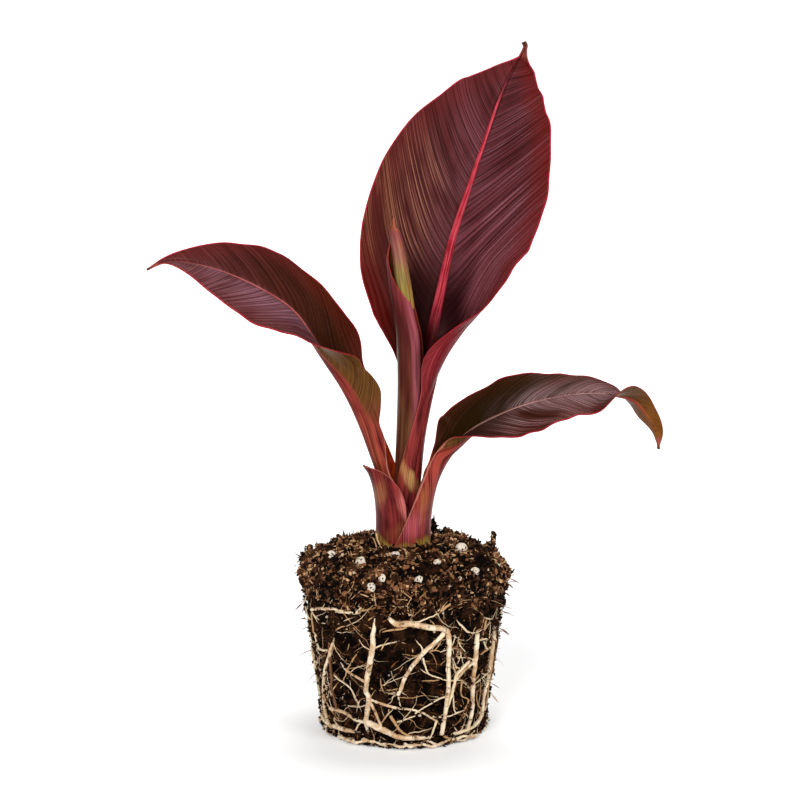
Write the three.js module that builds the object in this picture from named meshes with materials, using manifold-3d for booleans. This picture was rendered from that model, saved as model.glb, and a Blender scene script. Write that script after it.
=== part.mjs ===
// Young red Abyssinian banana standing on its bare root ball.
// Millimetres, +Z up. The origin is the middle of the root ball's flat underside.
// A viewer in front of the plant looks along +Y.
import * as THREE from 'three';
import { mergeVertices } from 'three/addons/utils/BufferGeometryUtils.js';
import Module from 'manifold-3d';

const wasm = await Module();
wasm.setup();

// Root ball: the shape of a small nursery pot, with a full mound of peat on top. From the rim the
// mound rounds over in a quarter ellipse, which reaches MOUND_ROUND inwards, to its level top.
const BALL_FOOT_RADIUS = 33.5;
const BALL_RIM_RADIUS = 44.5;
const BALL_RIM_HEIGHT = 69;
const BALL_FOOT_BEVEL = 1.5;
const MOUND_ROUND = 14;
const MOUND_STEPS = 6;
const BALL_SEGMENTS = 48;

// Clear distance between neighbouring bodies, and the level where the stem is cut.
const GAP = 0.3;
const STEM_FOOT = 82;
const MOUND_TOP = STEM_FOOT - GAP;

// Smallest half width of a leaf, kept at its very tip.
const TIP_HALF_WIDTH = 0.5;
const SPEAR_SIDES = 16;
const ROOT_SIDES = 6;
const ROOT_STEP = 5;
// A root's blunt tip, as a share of its thickness, and the rows over which it swells from there.
const ROOT_TIP_SHARE = 0.45;
const ROOT_TIP_ROWS = 3;

// Colours.
const BLADE_RED = 0x5a2630;
const SIDE_RED = 0x50302f;
const STALK_RED = 0x9a4440;
const SPEAR_RED = 0x7d3a44;
const SPEAR_GREEN = 0xa8a058;
const PEAT_BROWN = 0x35271f;
const ROOT_CREAM = 0xd8ba8c;

// A station of a leaf holds the place of its rib and the shape of its section there.
// The pairs give the half on the left of the leaf's travel first, then the half on the right.
// width is measured along the section, turn is how far it curls up from the rib to the margin,
// fold is its slope at the rib, and thick is the thickness at the rib and at the margins.
function station(rib, heading, roll, width, turn, fold, thick) {
  return { rib: new THREE.Vector3(...rib), heading, roll, width, turn, fold, thick };
}

// A station of a sheath that wraps round the stem. reach is the distance of its rib from the axis
// and curve is the radius of its section.
function sheath(reach, curve, bearing, height, wrap, thick) {
  const a = THREE.MathUtils.degToRad(bearing);
  const rib = [reach * Math.cos(a), reach * Math.sin(a), height];
  const width = wrap.map((w) => curve * THREE.MathUtils.degToRad(w));
  return station(rib, bearing, 0, width, wrap, [0, 0], thick);
}

// The upright leaf behind the spear: sheath, stalk and the large blade.
const BACK_LEAF = [
  sheath(5.1, 5.1, 40, STEM_FOOT, [120, 185], [1.5, 0.8]),
  sheath(5.1, 5.1, 40, 97, [115, 182], [1.5, 0.8]),
  station([4.9, 3.3, 113], 42, 0, [10, 16], [108, 172], [0, 0], [1.7, 0.8]),
  station([6.1, 3.9, 130], 48, 0, [9, 14.3], [80, 140], [0, 0], [2.2, 0.9]),
  station([8.7, 4.8, 147.5], 62, 0, [9, 13], [40, 135], [-4, 5], [2.8, 1.1]),
  station([10.2, 6.4, 162.5], 76, -8, [15, 24], [30, 181], [8, -15], [3, 1.4]),
  station([12.5, 9, 176], 84, -12, [27, 30], [15, 140], [18, -20], [3, 1.6]),
  station([15.6, 12.5, 188.5], 88, -20, [34.9, 41.6], [5, 40], [24, 16], [2.8, 1.6]),
  station([21.1, 19.5, 212], 88, -22, [40, 47.6], [0, 6], [24, 22], [2.6, 1.6]),
  station([30.2, 26, 240], 88, -17, [37.8, 39.3], [-5, 0], [18, 18], [2.3, 1.6]),
  station([38.9, 31, 265.5], 88, -10, [23.8, 27.5], [-4, 0], [12, 12], [2, 1.6]),
  station([45.2, 33.8, 280.5], 88, -10, [8.5, 17.6], [0, 10], [10, 10], [1.8, 1.6]),
  station([48.6, 34.4, 286.2], 88, -10, [2.6, 8.4], [10, 10], [10, 10], [1.7, 1.6]),
  station([51.3, 34.8, 295], 88, -10, [0, 0], [10, 10], [10, 10], [1.6, 1.6]),
];

// The arching leaf on the left.
const LEFT_LEAF = [
  sheath(7.1, 7.1, 178, STEM_FOOT, [130, 110], [1.5, 0.7]),
  sheath(7.1, 7.1, 178, 94, [116, 105], [1.5, 0.7]),
  station([-7.6, 0.2, 104], 180, 0, [9.6, 12], [90, 93], [0, 0], [1.6, 0.8]),
  station([-10.6, 0, 114], 183, 0, [5.6, 10], [65, 72], [12, 12], [2, 0.9]),
  station([-17.8, -1, 135.5], 186, 0, [10, 7.4], [45, 45], [40, 40], [2.4, 1.1]),
  station([-25.3, -2.5, 152], 188, 0, [13.4, 13.8], [42, 45], [45, 42], [2.5, 1.3]),
  station([-35.4, -4.5, 168.4], 190, -16, [17.2, 22], [28, 28], [20, 20], [2.4, 1.4]),
  station([-46, -8, 185], 190, -33, [18.4, 23], [8, 8], [5, 5], [2.4, 1.4]),
  station([-59.3, -12, 195.5], 190, -41, [19.5, 22.4], [-2, -2], [2, 2], [2.2, 1.4]),
  station([-75.5, -16, 204], 190, -46, [14.5, 15.6], [0, 0], [0, 0], [2, 1.4]),
  station([-90, -19, 208.5], 190, -44, [6.5, 7.5], [5, 5], [0, 0], [1.7, 1.4]),
  station([-100.5, -20, 209], 190, -25, [2.2, 2.2], [30, 30], [5, 5], [1.5, 1.4]),
  station([-108, -20.5, 206], 190, 0, [0, 0], [10, 10], [0, 0], [1.4, 1.4]),
];

// The arching leaf on the right, whose tip hangs down.
const RIGHT_LEAF = [
  sheath(8.2, 10.2, -15, STEM_FOOT, [95, 94], [3.4, 0.7]),
  sheath(8.5, 10.7, -15, 93, [84, 66], [3.2, 0.7]),
  station([9.3, -2.5, 103], -15, 0, [11, 7], [62, 50], [0, 0], [2.7, 0.8]),
  station([11.8, -3.1, 113], -14, 0, [8.4, 3.8], [60, 55], [10, 10], [2.4, 0.9]),
  station([16, -4, 122], -13, 0, [6.8, 2.8], [50, 50], [25, 30], [2.4, 1.1]),
  station([22.2, -5.5, 128], -12, 5, [13.8, 6.2], [40, 40], [30, 15], [2.4, 1.2]),
  station([32.3, -8, 136.5], -12, 22, [19.1, 13.6], [14, 6], [8, 8], [2.4, 1.3]),
  station([49, -13, 145.5], -12, 33, [18.7, 17.6], [2, -2], [2, 0], [2.2, 1.3]),
  station([66, -18, 151], -12, 22, [15.5, 17.5], [2, -2], [0, 0], [2, 1.3]),
  station([82.5, -21, 153], -12, 16, [12, 13.4], [0, -5], [0, 0], [1.8, 1.3]),
  station([95.5, -23, 151], -12, -36, [9, 7.4], [10, 5], [5, 5], [1.6, 1.3]),
  station([102, -24, 144.5], -12, -55, [7, 5.4], [10, 10], [10, 10], [1.5, 1.3]),
  station([106.6, -24, 137], -12, -60, [3.3, 3], [10, 10], [10, 10], [1.4, 1.3]),
  station([107.8, -23, 129.2], -12, -60, [0, 0], [10, 10], [0, 0], [1.3, 1.3]),
];

// Where the leaves are divided into pieces, as places among their stations.
const BACK_BLADE_FROM = 4.4;
const LEFT_BLADE_FROM = 4.5;
const LEFT_TIP_FROM = 8.6;
const RIGHT_BLADE_FROM = 4.5;
const RIGHT_TIP_FROM = 9.8;

// The short old sheath at the front left of the stem, with a bent point.
const SCALE_SHEATH = [
  sheath(8.9, 8.4, 198, STEM_FOOT, [76, 80], [2.6, 0.7]),
  sheath(9, 8.6, 198, 96, [84, 76], [2.5, 0.7]),
  station([-10.6, -3.3, 106], 196, 0, [10, 9], [62, 58], [0, 0], [2.1, 0.7]),
  station([-14, -4.3, 113.5], 194, 0, [4.5, 4.5], [55, 50], [0, 0], [1.6, 0.7]),
  station([-17.3, -5, 117.5], 192, 0, [0, 0], [30, 30], [0, 0], [1, 0.8]),
];

// The rolled young leaf: middle of the roll and its radius, from the foot to the tip.
const SPEAR = [
  [0, 0, STEM_FOOT, 4.6],
  [0.3, -0.2, 105, 4.6],
  [2, -0.4, 130, 5.2],
  [2.9, -0.1, 152.5, 5.7],
  [3, -0.1, 170, 5.6],
  [0.8, -0.6, 182, 5],
  [-1.6, -0.7, 196, 4.2],
  [-3.3, -0.8, 212, 3.1],
  [-4.5, -0.6, 222, 0.5],
];
// The outer wrap ends in a slanting rim, low at the front right and high at the left.
const WRAP_RIM = 5.9;
const WRAP_RIM_SLANT = 0.9;
const WRAP_RIM_BEARING = 150;
// The tip inside the rim, as a share of the wrap's radius, and its distance from it along the roll.
const TIP_SHARE = 0.86;
const TIP_RISE = 0.085;

// Roots that show on the ball: thickness and a path of bearing and height along its side.
const ROOTS = {
  roots_front_left: [
    [2.6, [[-107, 61], [-108, 49], [-111, 38], [-114, 27], [-113, 22], [-116, 12], [-116, 4]]],
    [1.6, [[-113, 22], [-105, 9], [-96, 6]]],
    [2.6, [[-116, 11], [-103, 8], [-94, 5], [-82, 4], [-69, 4]]],
    [1.6, [[-150, 12], [-135, 13], [-123, 11], [-116, 11]]],
    [1.4, [[-134, 36], [-126, 33], [-113, 29]]],
    [1.2, [[-113, 22], [-97, 19], [-81, 17], [-69, 12]]],
  ],
  roots_front_middle: [
    [2.5, [[-100, 61], [-95, 58], [-87, 58], [-76, 56], [-67, 54],
      [-64, 48], [-63, 38], [-62, 25], [-64, 5]]],
    [1.8, [[-67, 53], [-79, 44], [-88, 35], [-94, 25]]],
  ],
  roots_front_right: [
    [2.1, [[-43, 49], [-42, 38], [-42, 28], [-40, 19], [-39, 12], [-42, 3]]],
    [1.5, [[-42, 36], [-50, 34], [-56, 30]]],
  ],
  roots_right: [
    [2, [[-19, 49], [-23, 40], [-22, 25], [-25, 15], [-24, 7], [-35, 4]]],
  ],
  roots_left: [
    [1.8, [[-137, 47], [-141, 39], [-150, 28], [-156, 19], [-160, 10], [-157, 4]]],
    [2.4, [[-158, 4], [-139, 4.5], [-122, 5]]],
  ],
  roots_upper: [
    [1.3, [[-158, 56], [-136, 61], [-124, 61], [-115, 62]]],
  ],
};
// The same habit carried round the back: a root down the side, a branch and a run along the foot.
const BACK_ROOTS = 6;
const BACK_ROOTS_FROM = 10;
const BACK_ROOTS_STEP = 29;
const BACK_ROOT_SWAY = 4;
const BACK_ROOT_TOP = 54;
const BACK_ROOT_TOP_SPREAD = 7;
const BACK_ROOT_THICKNESS = 2.2;
const BACK_ROOT_THICKNESS_SPREAD = 0.3;
for (let i = 0; i < BACK_ROOTS; i += 1) {
  const b = BACK_ROOTS_FROM + BACK_ROOTS_STEP * i;
  const sway = BACK_ROOT_SWAY * Math.sin(2.4 * i + 1);
  const top = BACK_ROOT_TOP + BACK_ROOT_TOP_SPREAD * Math.sin(1.9 * i);
  const thickness = BACK_ROOT_THICKNESS + BACK_ROOT_THICKNESS_SPREAD * Math.cos(2.1 * i);
  ROOTS[`roots_back_${i + 1}`] = [
    [thickness, [[b, top], [b + sway, 38], [b - 2, 24], [b + 1, 12], [b - 1, 4]]],
    [1.4, [[b - 2, 24], [b + 6, 19], [b + 13, 13 + sway]]],
    [2, [[b, 6], [b + 8, 4], [b + 20, 4]]],
  ];
}

// Uniform Catmull-Rom value through equally spaced numbers.
function along(values, t) {
  const n = values.length - 1;
  const i = Math.min(Math.max(Math.floor(t), 0), n - 1);
  const f = t - i;
  const b = values[i];
  const c = values[i + 1];
  const a = i > 0 ? values[i - 1] : 2 * b - c;
  const d = i < n - 1 ? values[i + 2] : 2 * c - b;
  return b + 0.5 * f * (c - a + f * (2 * a - 5 * b + 4 * c - d + f * (3 * (b - c) + d - a)));
}

function ribAt(leaf, t) {
  const part = (axis) => along(leaf.map((s) => s.rib[axis]), t);
  return new THREE.Vector3(part('x'), part('y'), part('z'));
}

// Upper and lower points of the leaf's section at place t, from the right margin to the left one.
function sectionAt(leaf, t, columns) {
  const rad = THREE.MathUtils.degToRad;
  const last = leaf.length - 1;
  const value = (pick) => along(leaf.map(pick), t);
  const ahead = ribAt(leaf, Math.min(t + 0.001, last));
  const travel = ahead.sub(ribAt(leaf, Math.max(t - 0.001, 0))).normalize();
  const heading = rad(value((s) => s.heading));
  const level = new THREE.Vector3(-Math.sin(heading), Math.cos(heading), 0);
  const up = new THREE.Vector3().crossVectors(travel, level).normalize();
  const across = new THREE.Vector3().crossVectors(up, travel);
  const roll = rad(value((s) => s.roll));
  across.applyAxisAngle(travel, roll);
  up.applyAxisAngle(travel, roll);
  const rib = ribAt(leaf, t);
  const ribThick = value((s) => s.thick[0]);
  const edgeThick = value((s) => s.thick[1]);
  const upper = [];
  const lower = [];
  for (let j = -columns; j <= columns; j += 1) {
    const half = j >= 0 ? 0 : 1;
    const sign = half === 0 ? 1 : -1;
    const q = Math.abs(j) / columns;
    const width = Math.max(value((s) => s.width[half]), TIP_HALF_WIDTH);
    const turn = rad(value((s) => s.turn[half])) || 1e-4;
    const fold = rad(value((s) => s.fold[half]));
    const slope = fold + turn * q;
    const out = (width / turn) * (Math.sin(slope) - Math.sin(fold));
    const rise = (width / turn) * (Math.cos(fold) - Math.cos(slope));
    const point = rib.clone().addScaledVector(across, sign * out).addScaledVector(up, rise);
    // The rib has a rounded keel, so the lower face there points straight down.
    const lean = q === 0 ? 0 : slope;
    const normal = up.clone().multiplyScalar(Math.cos(lean)).addScaledVector(across, -sign * Math.sin(lean));
    const thick = edgeThick + (ribThick - edgeThick) * (1 - q) ** 2;
    upper.push(point);
    lower.push(point.clone().addScaledVector(normal, -thick));
  }
  return { upper, lower };
}

function bodyFrom(points, triangles) {
  const geometry = new THREE.BufferGeometry();
  geometry.setAttribute('position', new THREE.Float32BufferAttribute(points.flatMap((p) => p.toArray()), 3));
  geometry.setIndex(triangles);
  return geometry;
}

// Closed body between the upper and lower faces of a row of sections.
function sheetBody(sections) {
  const rows = sections.length;
  const wide = sections[0].upper.length;
  const points = sections.flatMap((s) => [...s.upper, ...s.lower]);
  const up = (i, j) => i * 2 * wide + j;
  const low = (i, j) => up(i, j) + wide;
  const triangles = [];
  const quad = (a, b, c, d) => triangles.push(a, b, c, a, c, d);
  for (let i = 0; i < rows - 1; i += 1) {
    for (let j = 0; j < wide - 1; j += 1) {
      quad(up(i, j), up(i + 1, j), up(i + 1, j + 1), up(i, j + 1));
      quad(low(i, j), low(i, j + 1), low(i + 1, j + 1), low(i + 1, j));
    }
    quad(up(i, 0), low(i, 0), low(i + 1, 0), up(i + 1, 0));
    quad(up(i, wide - 1), up(i + 1, wide - 1), low(i + 1, wide - 1), low(i, wide - 1));
  }
  for (let j = 0; j < wide - 1; j += 1) {
    quad(up(0, j), up(0, j + 1), low(0, j + 1), low(0, j));
    quad(up(rows - 1, j), low(rows - 1, j), low(rows - 1, j + 1), up(rows - 1, j + 1));
  }
  return bodyFrom(points, triangles);
}

// Piece of a leaf between two places along it, drawn back by half a gap where it meets another piece.
// rows are counted along the piece and columns across each half.
function leafPiece(leaf, { from = 0, to = leaf.length - 1, rows, columns }) {
  const last = leaf.length - 1;
  const inset = (t) => {
    const step = ribAt(leaf, Math.min(t + 0.05, last)).distanceTo(ribAt(leaf, Math.max(t - 0.05, 0)));
    return (GAP / 2 / step) * 0.1;
  };
  const start = from > 0 ? from + inset(from) : 0;
  const end = to < last ? to - inset(to) : last;
  const sections = [];
  for (let i = 0; i <= rows; i += 1) {
    sections.push(sectionAt(leaf, start + ((end - start) * i) / rows, columns));
  }
  return sheetBody(sections);
}

// Closed body through a row of rings, each end closed to its middle point.
function rodBody(rings, footMiddle, topMiddle) {
  const sides = rings[0].length;
  const points = [...rings.flat(), footMiddle, topMiddle];
  const foot = points.length - 2;
  const top = points.length - 1;
  const triangles = [];
  for (let k = 0; k < sides; k += 1) {
    const next = (k + 1) % sides;
    for (let i = 0; i < rings.length - 1; i += 1) {
      const a = i * sides;
      const b = a + sides;
      triangles.push(a + k, a + next, b + next, a + k, b + next, b + k);
    }
    const t = (rings.length - 1) * sides;
    triangles.push(foot, next, k, top, t + k, t + next);
  }
  return bodyFrom(points, triangles);
}

// Piece of the rolled leaf. foot and top give the place along it at each bearing.
function spearPiece(foot, top, rows, share) {
  const value = (axis, t) => along(SPEAR.map((s) => s[axis]), t);
  const middle = (t) => new THREE.Vector3(value(0, t), value(1, t), value(2, t));
  const rings = [];
  for (let i = 0; i <= rows; i += 1) {
    const ring = [];
    for (let k = 0; k < SPEAR_SIDES; k += 1) {
      const a = (2 * Math.PI * k) / SPEAR_SIDES;
      const t = foot(a) + ((top(a) - foot(a)) * i) / rows;
      const radius = share * value(3, t);
      ring.push(middle(t).add(new THREE.Vector3(radius * Math.cos(a), radius * Math.sin(a), 0)));
    }
    rings.push(ring);
  }
  const mean = (f) => (f(0) + f(Math.PI)) / 2;
  return rodBody(rings, middle(mean(foot)), middle(mean(top)));
}

// One root lying on the side of the ball.
function rootBody(thickness, path) {
  const slope = (BALL_RIM_RADIUS - BALL_FOOT_RADIUS) / BALL_RIM_HEIGHT;
  const radius = thickness / 2;
  const course = new THREE.SplineCurve(path.map(([bearing, height]) => new THREE.Vector2(bearing, height)));
  const knots = course.getPoints(5 * path.length).map((place) => {
    const reach = BALL_FOOT_RADIUS + slope * place.y + (radius + GAP) * Math.hypot(1, slope);
    const a = THREE.MathUtils.degToRad(place.x);
    return new THREE.Vector3(reach * Math.cos(a), reach * Math.sin(a), place.y);
  });
  const curve = new THREE.CatmullRomCurve3(knots, false, 'centripetal');
  const rows = Math.max(6, Math.round(curve.getLength() / ROOT_STEP));
  const frames = curve.computeFrenetFrames(rows, false);
  const rings = [];
  for (let i = 0; i <= rows; i += 1) {
    const middle = curve.getPointAt(i / rows);
    // Both ends taper to a blunt tip.
    const swell = Math.min(1, Math.min(i, rows - i) / ROOT_TIP_ROWS);
    const taper = ROOT_TIP_SHARE + (1 - ROOT_TIP_SHARE) * swell;
    const ring = [];
    for (let k = 0; k < ROOT_SIDES; k += 1) {
      const a = (2 * Math.PI * k) / ROOT_SIDES;
      const point = middle.clone().addScaledVector(frames.normals[i], taper * radius * Math.cos(a));
      ring.push(point.addScaledVector(frames.binormals[i], taper * radius * Math.sin(a)));
    }
    rings.push(ring);
  }
  return rodBody(rings, curve.getPointAt(0), curve.getPointAt(1));
}

// Join several closed bodies into one.
function joined(geometries) {
  const solids = geometries.map((g) => new wasm.Manifold(new wasm.Mesh({
    numProp: 3,
    vertProperties: new Float32Array(g.getAttribute('position').array),
    triVerts: new Uint32Array(g.getIndex().array),
  })));
  const mesh = wasm.Manifold.union(solids).getMesh();
  const geometry = new THREE.BufferGeometry();
  geometry.setAttribute('position', new THREE.BufferAttribute(new Float32Array(mesh.vertProperties), 3));
  geometry.setIndex(Array.from(mesh.triVerts));
  return geometry;
}

// Root ball turned from its half outline, foot to mound.
function ballBody() {
  const outline = [
    [0, 0],
    [BALL_FOOT_RADIUS - BALL_FOOT_BEVEL, 0],
    [BALL_FOOT_RADIUS, BALL_FOOT_BEVEL],
    [(BALL_FOOT_RADIUS + BALL_RIM_RADIUS) / 2, BALL_RIM_HEIGHT / 2],
  ];
  for (let i = 0; i <= MOUND_STEPS; i += 1) {
    const a = (Math.PI / 2) * (i / MOUND_STEPS);
    const inwards = MOUND_ROUND * (1 - Math.cos(a));
    const rise = (MOUND_TOP - BALL_RIM_HEIGHT) * Math.sin(a);
    outline.push([BALL_RIM_RADIUS - inwards, BALL_RIM_HEIGHT + rise]);
  }
  outline.push([0, MOUND_TOP]);
  const turned = new THREE.LatheGeometry(outline.map((p) => new THREE.Vector2(...p)), BALL_SEGMENTS);
  turned.rotateX(Math.PI / 2);
  turned.deleteAttribute('normal');
  turned.deleteAttribute('uv');
  return mergeVertices(turned);
}

const plant = new THREE.Group();
plant.name = 'abyssinian_banana';

function add(name, geometry, color, roughness) {
  geometry.computeVertexNormals();
  const mesh = new THREE.Mesh(geometry, new THREE.MeshStandardMaterial({ color, roughness, metalness: 0 }));
  mesh.name = name;
  plant.add(mesh);
}

add('root_ball', ballBody(), PEAT_BROWN, 0.95);
for (const [name, paths] of Object.entries(ROOTS)) {
  add(name, joined(paths.map(([thickness, path]) => rootBody(thickness, path))), ROOT_CREAM, 0.7);
}

const rim = (share, rise) => (a) => (
  WRAP_RIM + rise + share * WRAP_RIM_SLANT * Math.cos(a - THREE.MathUtils.degToRad(WRAP_RIM_BEARING))
);
const tipTop = () => SPEAR.length - 1;
add('spear_wrap', spearPiece(() => 0, rim(1, 0), 18, 1), SPEAR_RED, 0.45);
add('spear_tip', spearPiece(rim(TIP_SHARE, TIP_RISE), tipTop, 9, TIP_SHARE), SPEAR_GREEN, 0.45);

const backStalk = { to: BACK_BLADE_FROM, rows: 15, columns: 7 };
const backBlade = { from: BACK_BLADE_FROM, rows: 30, columns: 7 };
add('back_stalk', leafPiece(BACK_LEAF, backStalk), STALK_RED, 0.45);
add('back_blade', leafPiece(BACK_LEAF, backBlade), BLADE_RED, 0.4);

const leftStalk = { to: LEFT_BLADE_FROM, rows: 15, columns: 6 };
const leftBlade = { from: LEFT_BLADE_FROM, to: LEFT_TIP_FROM, rows: 15, columns: 5 };
const leftTip = { from: LEFT_TIP_FROM, rows: 10, columns: 5 };
add('left_stalk', leafPiece(LEFT_LEAF, leftStalk), STALK_RED, 0.45);
add('left_blade', leafPiece(LEFT_LEAF, leftBlade), SIDE_RED, 0.4);
add('left_tip', leafPiece(LEFT_LEAF, leftTip), SIDE_RED, 0.4);

const rightStalk = { to: RIGHT_BLADE_FROM, rows: 15, columns: 6 };
const rightBlade = { from: RIGHT_BLADE_FROM, to: RIGHT_TIP_FROM, rows: 17, columns: 5 };
const rightTip = { from: RIGHT_TIP_FROM, rows: 10, columns: 4 };
add('right_stalk', leafPiece(RIGHT_LEAF, rightStalk), STALK_RED, 0.45);
add('right_blade', leafPiece(RIGHT_LEAF, rightBlade), SIDE_RED, 0.4);
add('right_tip', leafPiece(RIGHT_LEAF, rightTip), SIDE_RED, 0.4);

add('scale_sheath', leafPiece(SCALE_SHEATH, { rows: 12, columns: 6 }), STALK_RED, 0.45);

export default plant;
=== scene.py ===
# %% [markdown]
# # A young red Abyssinian banana on its bare root ball
#
# The plant was knocked out of its pot: a tapered plug of peat held by pale roots, a short stem of
# wrapped sheaths, two arching leaves, one upright leaf and a rolled new one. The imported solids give
# every piece its place. This lesson builds the looks round them, one piece of the plant at a time.

# %% Load the frame
import math

import bpy
import numpy as np
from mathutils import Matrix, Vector


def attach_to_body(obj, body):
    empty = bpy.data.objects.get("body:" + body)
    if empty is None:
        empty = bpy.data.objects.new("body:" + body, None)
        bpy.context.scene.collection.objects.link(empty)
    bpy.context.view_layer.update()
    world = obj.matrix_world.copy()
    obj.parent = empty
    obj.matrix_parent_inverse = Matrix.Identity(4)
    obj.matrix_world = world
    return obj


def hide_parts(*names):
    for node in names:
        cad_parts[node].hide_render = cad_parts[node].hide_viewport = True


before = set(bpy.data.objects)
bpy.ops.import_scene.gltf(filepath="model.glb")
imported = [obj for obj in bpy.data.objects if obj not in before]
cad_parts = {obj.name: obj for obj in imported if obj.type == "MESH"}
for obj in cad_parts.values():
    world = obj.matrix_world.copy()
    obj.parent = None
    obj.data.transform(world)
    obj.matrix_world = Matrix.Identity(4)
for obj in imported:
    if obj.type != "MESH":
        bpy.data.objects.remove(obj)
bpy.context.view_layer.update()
MM = 0.001

# %% [markdown]
# ## Camera
#
# A long lens a little above the leaves, aimed at the middle of the plant. A long lens keeps the
# stem upright and the root ball's sides straight, as in a catalogue picture.

# %% Camera
EYE = Vector((-1.9, -1200, 420)) * MM
AIM = Vector((-1.9, 0, 145)) * MM
LENS = 128.84
SENSOR = 36
bpy.ops.object.camera_add(location=EYE, rotation=(AIM - EYE).to_track_quat("-Z", "Y").to_euler())
camera = bpy.context.object
camera.name = "camera"
camera.data.lens = LENS
camera.data.sensor_width = SENSOR
bpy.context.scene.camera = camera
bpy.context.scene.view_settings.view_transform = "Standard"
print("camera", round((AIM - EYE).length, 3), "m from its aim")

# %% [markdown]
# ## Maths on sockets
#
# A material is a graph of nodes. Written out link by link it is hard to read, so a small class wraps
# one socket, and Python's own operators then add the Math nodes. Every other node comes from `node`.


# %% The Wire class
class Wire:
    """One socket of a material. Arithmetic on it adds Math nodes."""

    def __init__(self, tree, socket=None):
        self.tree = tree
        self.socket = socket

    def node(self, kind, settings=None, sockets=None, out=0):
        """Adds any node: its type, its settings, then the values or links of its sockets."""
        made = self.tree.nodes.new(kind)
        for name, value in (settings or {}).items():
            setattr(made, name, value)
        for name, value in (sockets or {}).items():
            if isinstance(value, Wire):
                self.tree.links.new(value.socket, made.inputs[name])
            else:
                made.inputs[name].default_value = value
        return Wire(self.tree, made.outputs[out])

    def math(self, operation, a, b=0.0):
        return self.node("ShaderNodeMath", {"operation": operation}, {0: a, 1: b})

    def __add__(self, other):
        return self.math("ADD", self, other)

    def __sub__(self, other):
        return self.math("SUBTRACT", self, other)

    def __rsub__(self, other):
        return self.math("SUBTRACT", other, self)

    def __mul__(self, other):
        return self.math("MULTIPLY", self, other)

    def __truediv__(self, other):
        return self.math("DIVIDE", self, other)

    def __abs__(self):
        return self.math("ABSOLUTE", self)

    __radd__ = __add__
    __rmul__ = __mul__

    def sine(self):
        return self.math("SINE", self)

    def ease(self, low, high):
        """0 at low, 1 at high, smooth between them. low may be the larger number."""
        sockets = {"Value": self, "From Min": low, "From Max": high}
        return self.node("ShaderNodeMapRange", {"interpolation_type": "SMOOTHSTEP"}, sockets)

    def blend(self, first, second):
        """Colour between two colours, with this value as the share of the second."""
        return self.node("ShaderNodeMix", {"data_type": "RGBA"}, {0: self, 6: first, 7: second}, 2)


def paint(r, g, b):
    """A colour from the screen's 0 to 255 values."""
    share = np.array([r, g, b]) / 255
    linear = np.where(share <= 0.04045, share / 12.92, ((share + 0.055) / 1.055) ** 2.4)
    return (*linear.tolist(), 1.0)


def finish_named(name):
    """A new material: the material, a Wire to start from and its Principled shader."""
    material = bpy.data.materials.new(name)
    material.use_nodes = True
    tree = material.node_tree
    return material, Wire(tree), tree.nodes["Principled BSDF"]


def attach(wire, shader, socket):
    """Links a value or colour that changes over the surface."""
    wire.tree.links.new(wire.socket, shader.inputs[socket])


def fixed(shader, values):
    """Sets sockets that are the same all over the surface."""
    for name, value in values.items():
        shader.inputs[name].default_value = value


print("shader maths ready")

# %% [markdown]
# ## What a material can read
#
# Every finish below reads the same few things: the place on the piece, noise at that place, and
# numbers that a mesh keeps for its points. Object coordinates are in metres and stay with the piece.


# %% Places, noise and relief
def object_place(start):
    """The place on the piece, in metres."""
    return start.node("ShaderNodeTexCoord", out="Object")


def in_mm(start, axis):
    """One Object coordinate in millimetres. axis: 0, 1 or 2."""
    return start.node("ShaderNodeSeparateXYZ", None, {0: object_place(start)}, axis) * 1000


def noise(start, scale, detail, roughness=0.5):
    """Noise of the place, from 0 to 1."""
    sockets = {"Vector": object_place(start), "Scale": scale, "Detail": detail, "Roughness": roughness}
    return start.node("ShaderNodeTexNoise", None, sockets)


def kept(start, name):
    """A number that the mesh keeps for each of its points."""
    return start.node("ShaderNodeAttribute", {"attribute_name": name}, out="Fac")


def relief(start, shader, strength, distance, height):
    """Fine relief, by a Bump node. distance is in metres."""
    bump = start.node("ShaderNodeBump", None, {"Strength": strength, "Distance": distance, "Height": height})
    attach(bump, shader, "Normal")


print("material reads ready")

# %% [markdown]
# ## Studio
#
# A white room: a pale floor that takes the contact shadow, a soft light high at the back that adds a
# little real sheen along the ribs to the grey sheen painted there, and two weaker ones in front. Camera
# rays see plain white, and the room itself lights the plant only a little, so that the leaves keep
# their deep colours.

# %% Floor
FLOOR_SIZE = 14
FLOOR_DROP = 0.0003
FLOOR_GLOW_RISE = (0.05, 0.9)
GLOW_NEAR, WHITE = (0.22, 0.22, 0.22, 1), (1, 1, 1, 1)
bpy.ops.object.select_all(action="DESELECT")
bpy.ops.mesh.primitive_plane_add(size=FLOOR_SIZE, location=(0, 0, -FLOOR_DROP))
floor = bpy.context.object
floor.name = "floor"
floor_paint, start, shader = finish_named("pale_floor")
away = start.node("ShaderNodeVectorMath", {"operation": "LENGTH"}, {0: object_place(start)}, "Value")
# The floor glows: grey near the plant, which lightens the contact shadow with painted light, and white
# further out, where the lamps' light falls off.
attach(away.ease(*FLOOR_GLOW_RISE).blend(GLOW_NEAR, WHITE), shader, "Emission Color")
fixed(shader, {"Emission Strength": 1.0, "Base Color": (0.8, 0.8, 0.8, 1)})
fixed(shader, {"Roughness": 0.9, "Specular IOR Level": 0.0})
floor.data.materials.append(floor_paint)
print("floor", FLOOR_SIZE, "m wide")

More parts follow.
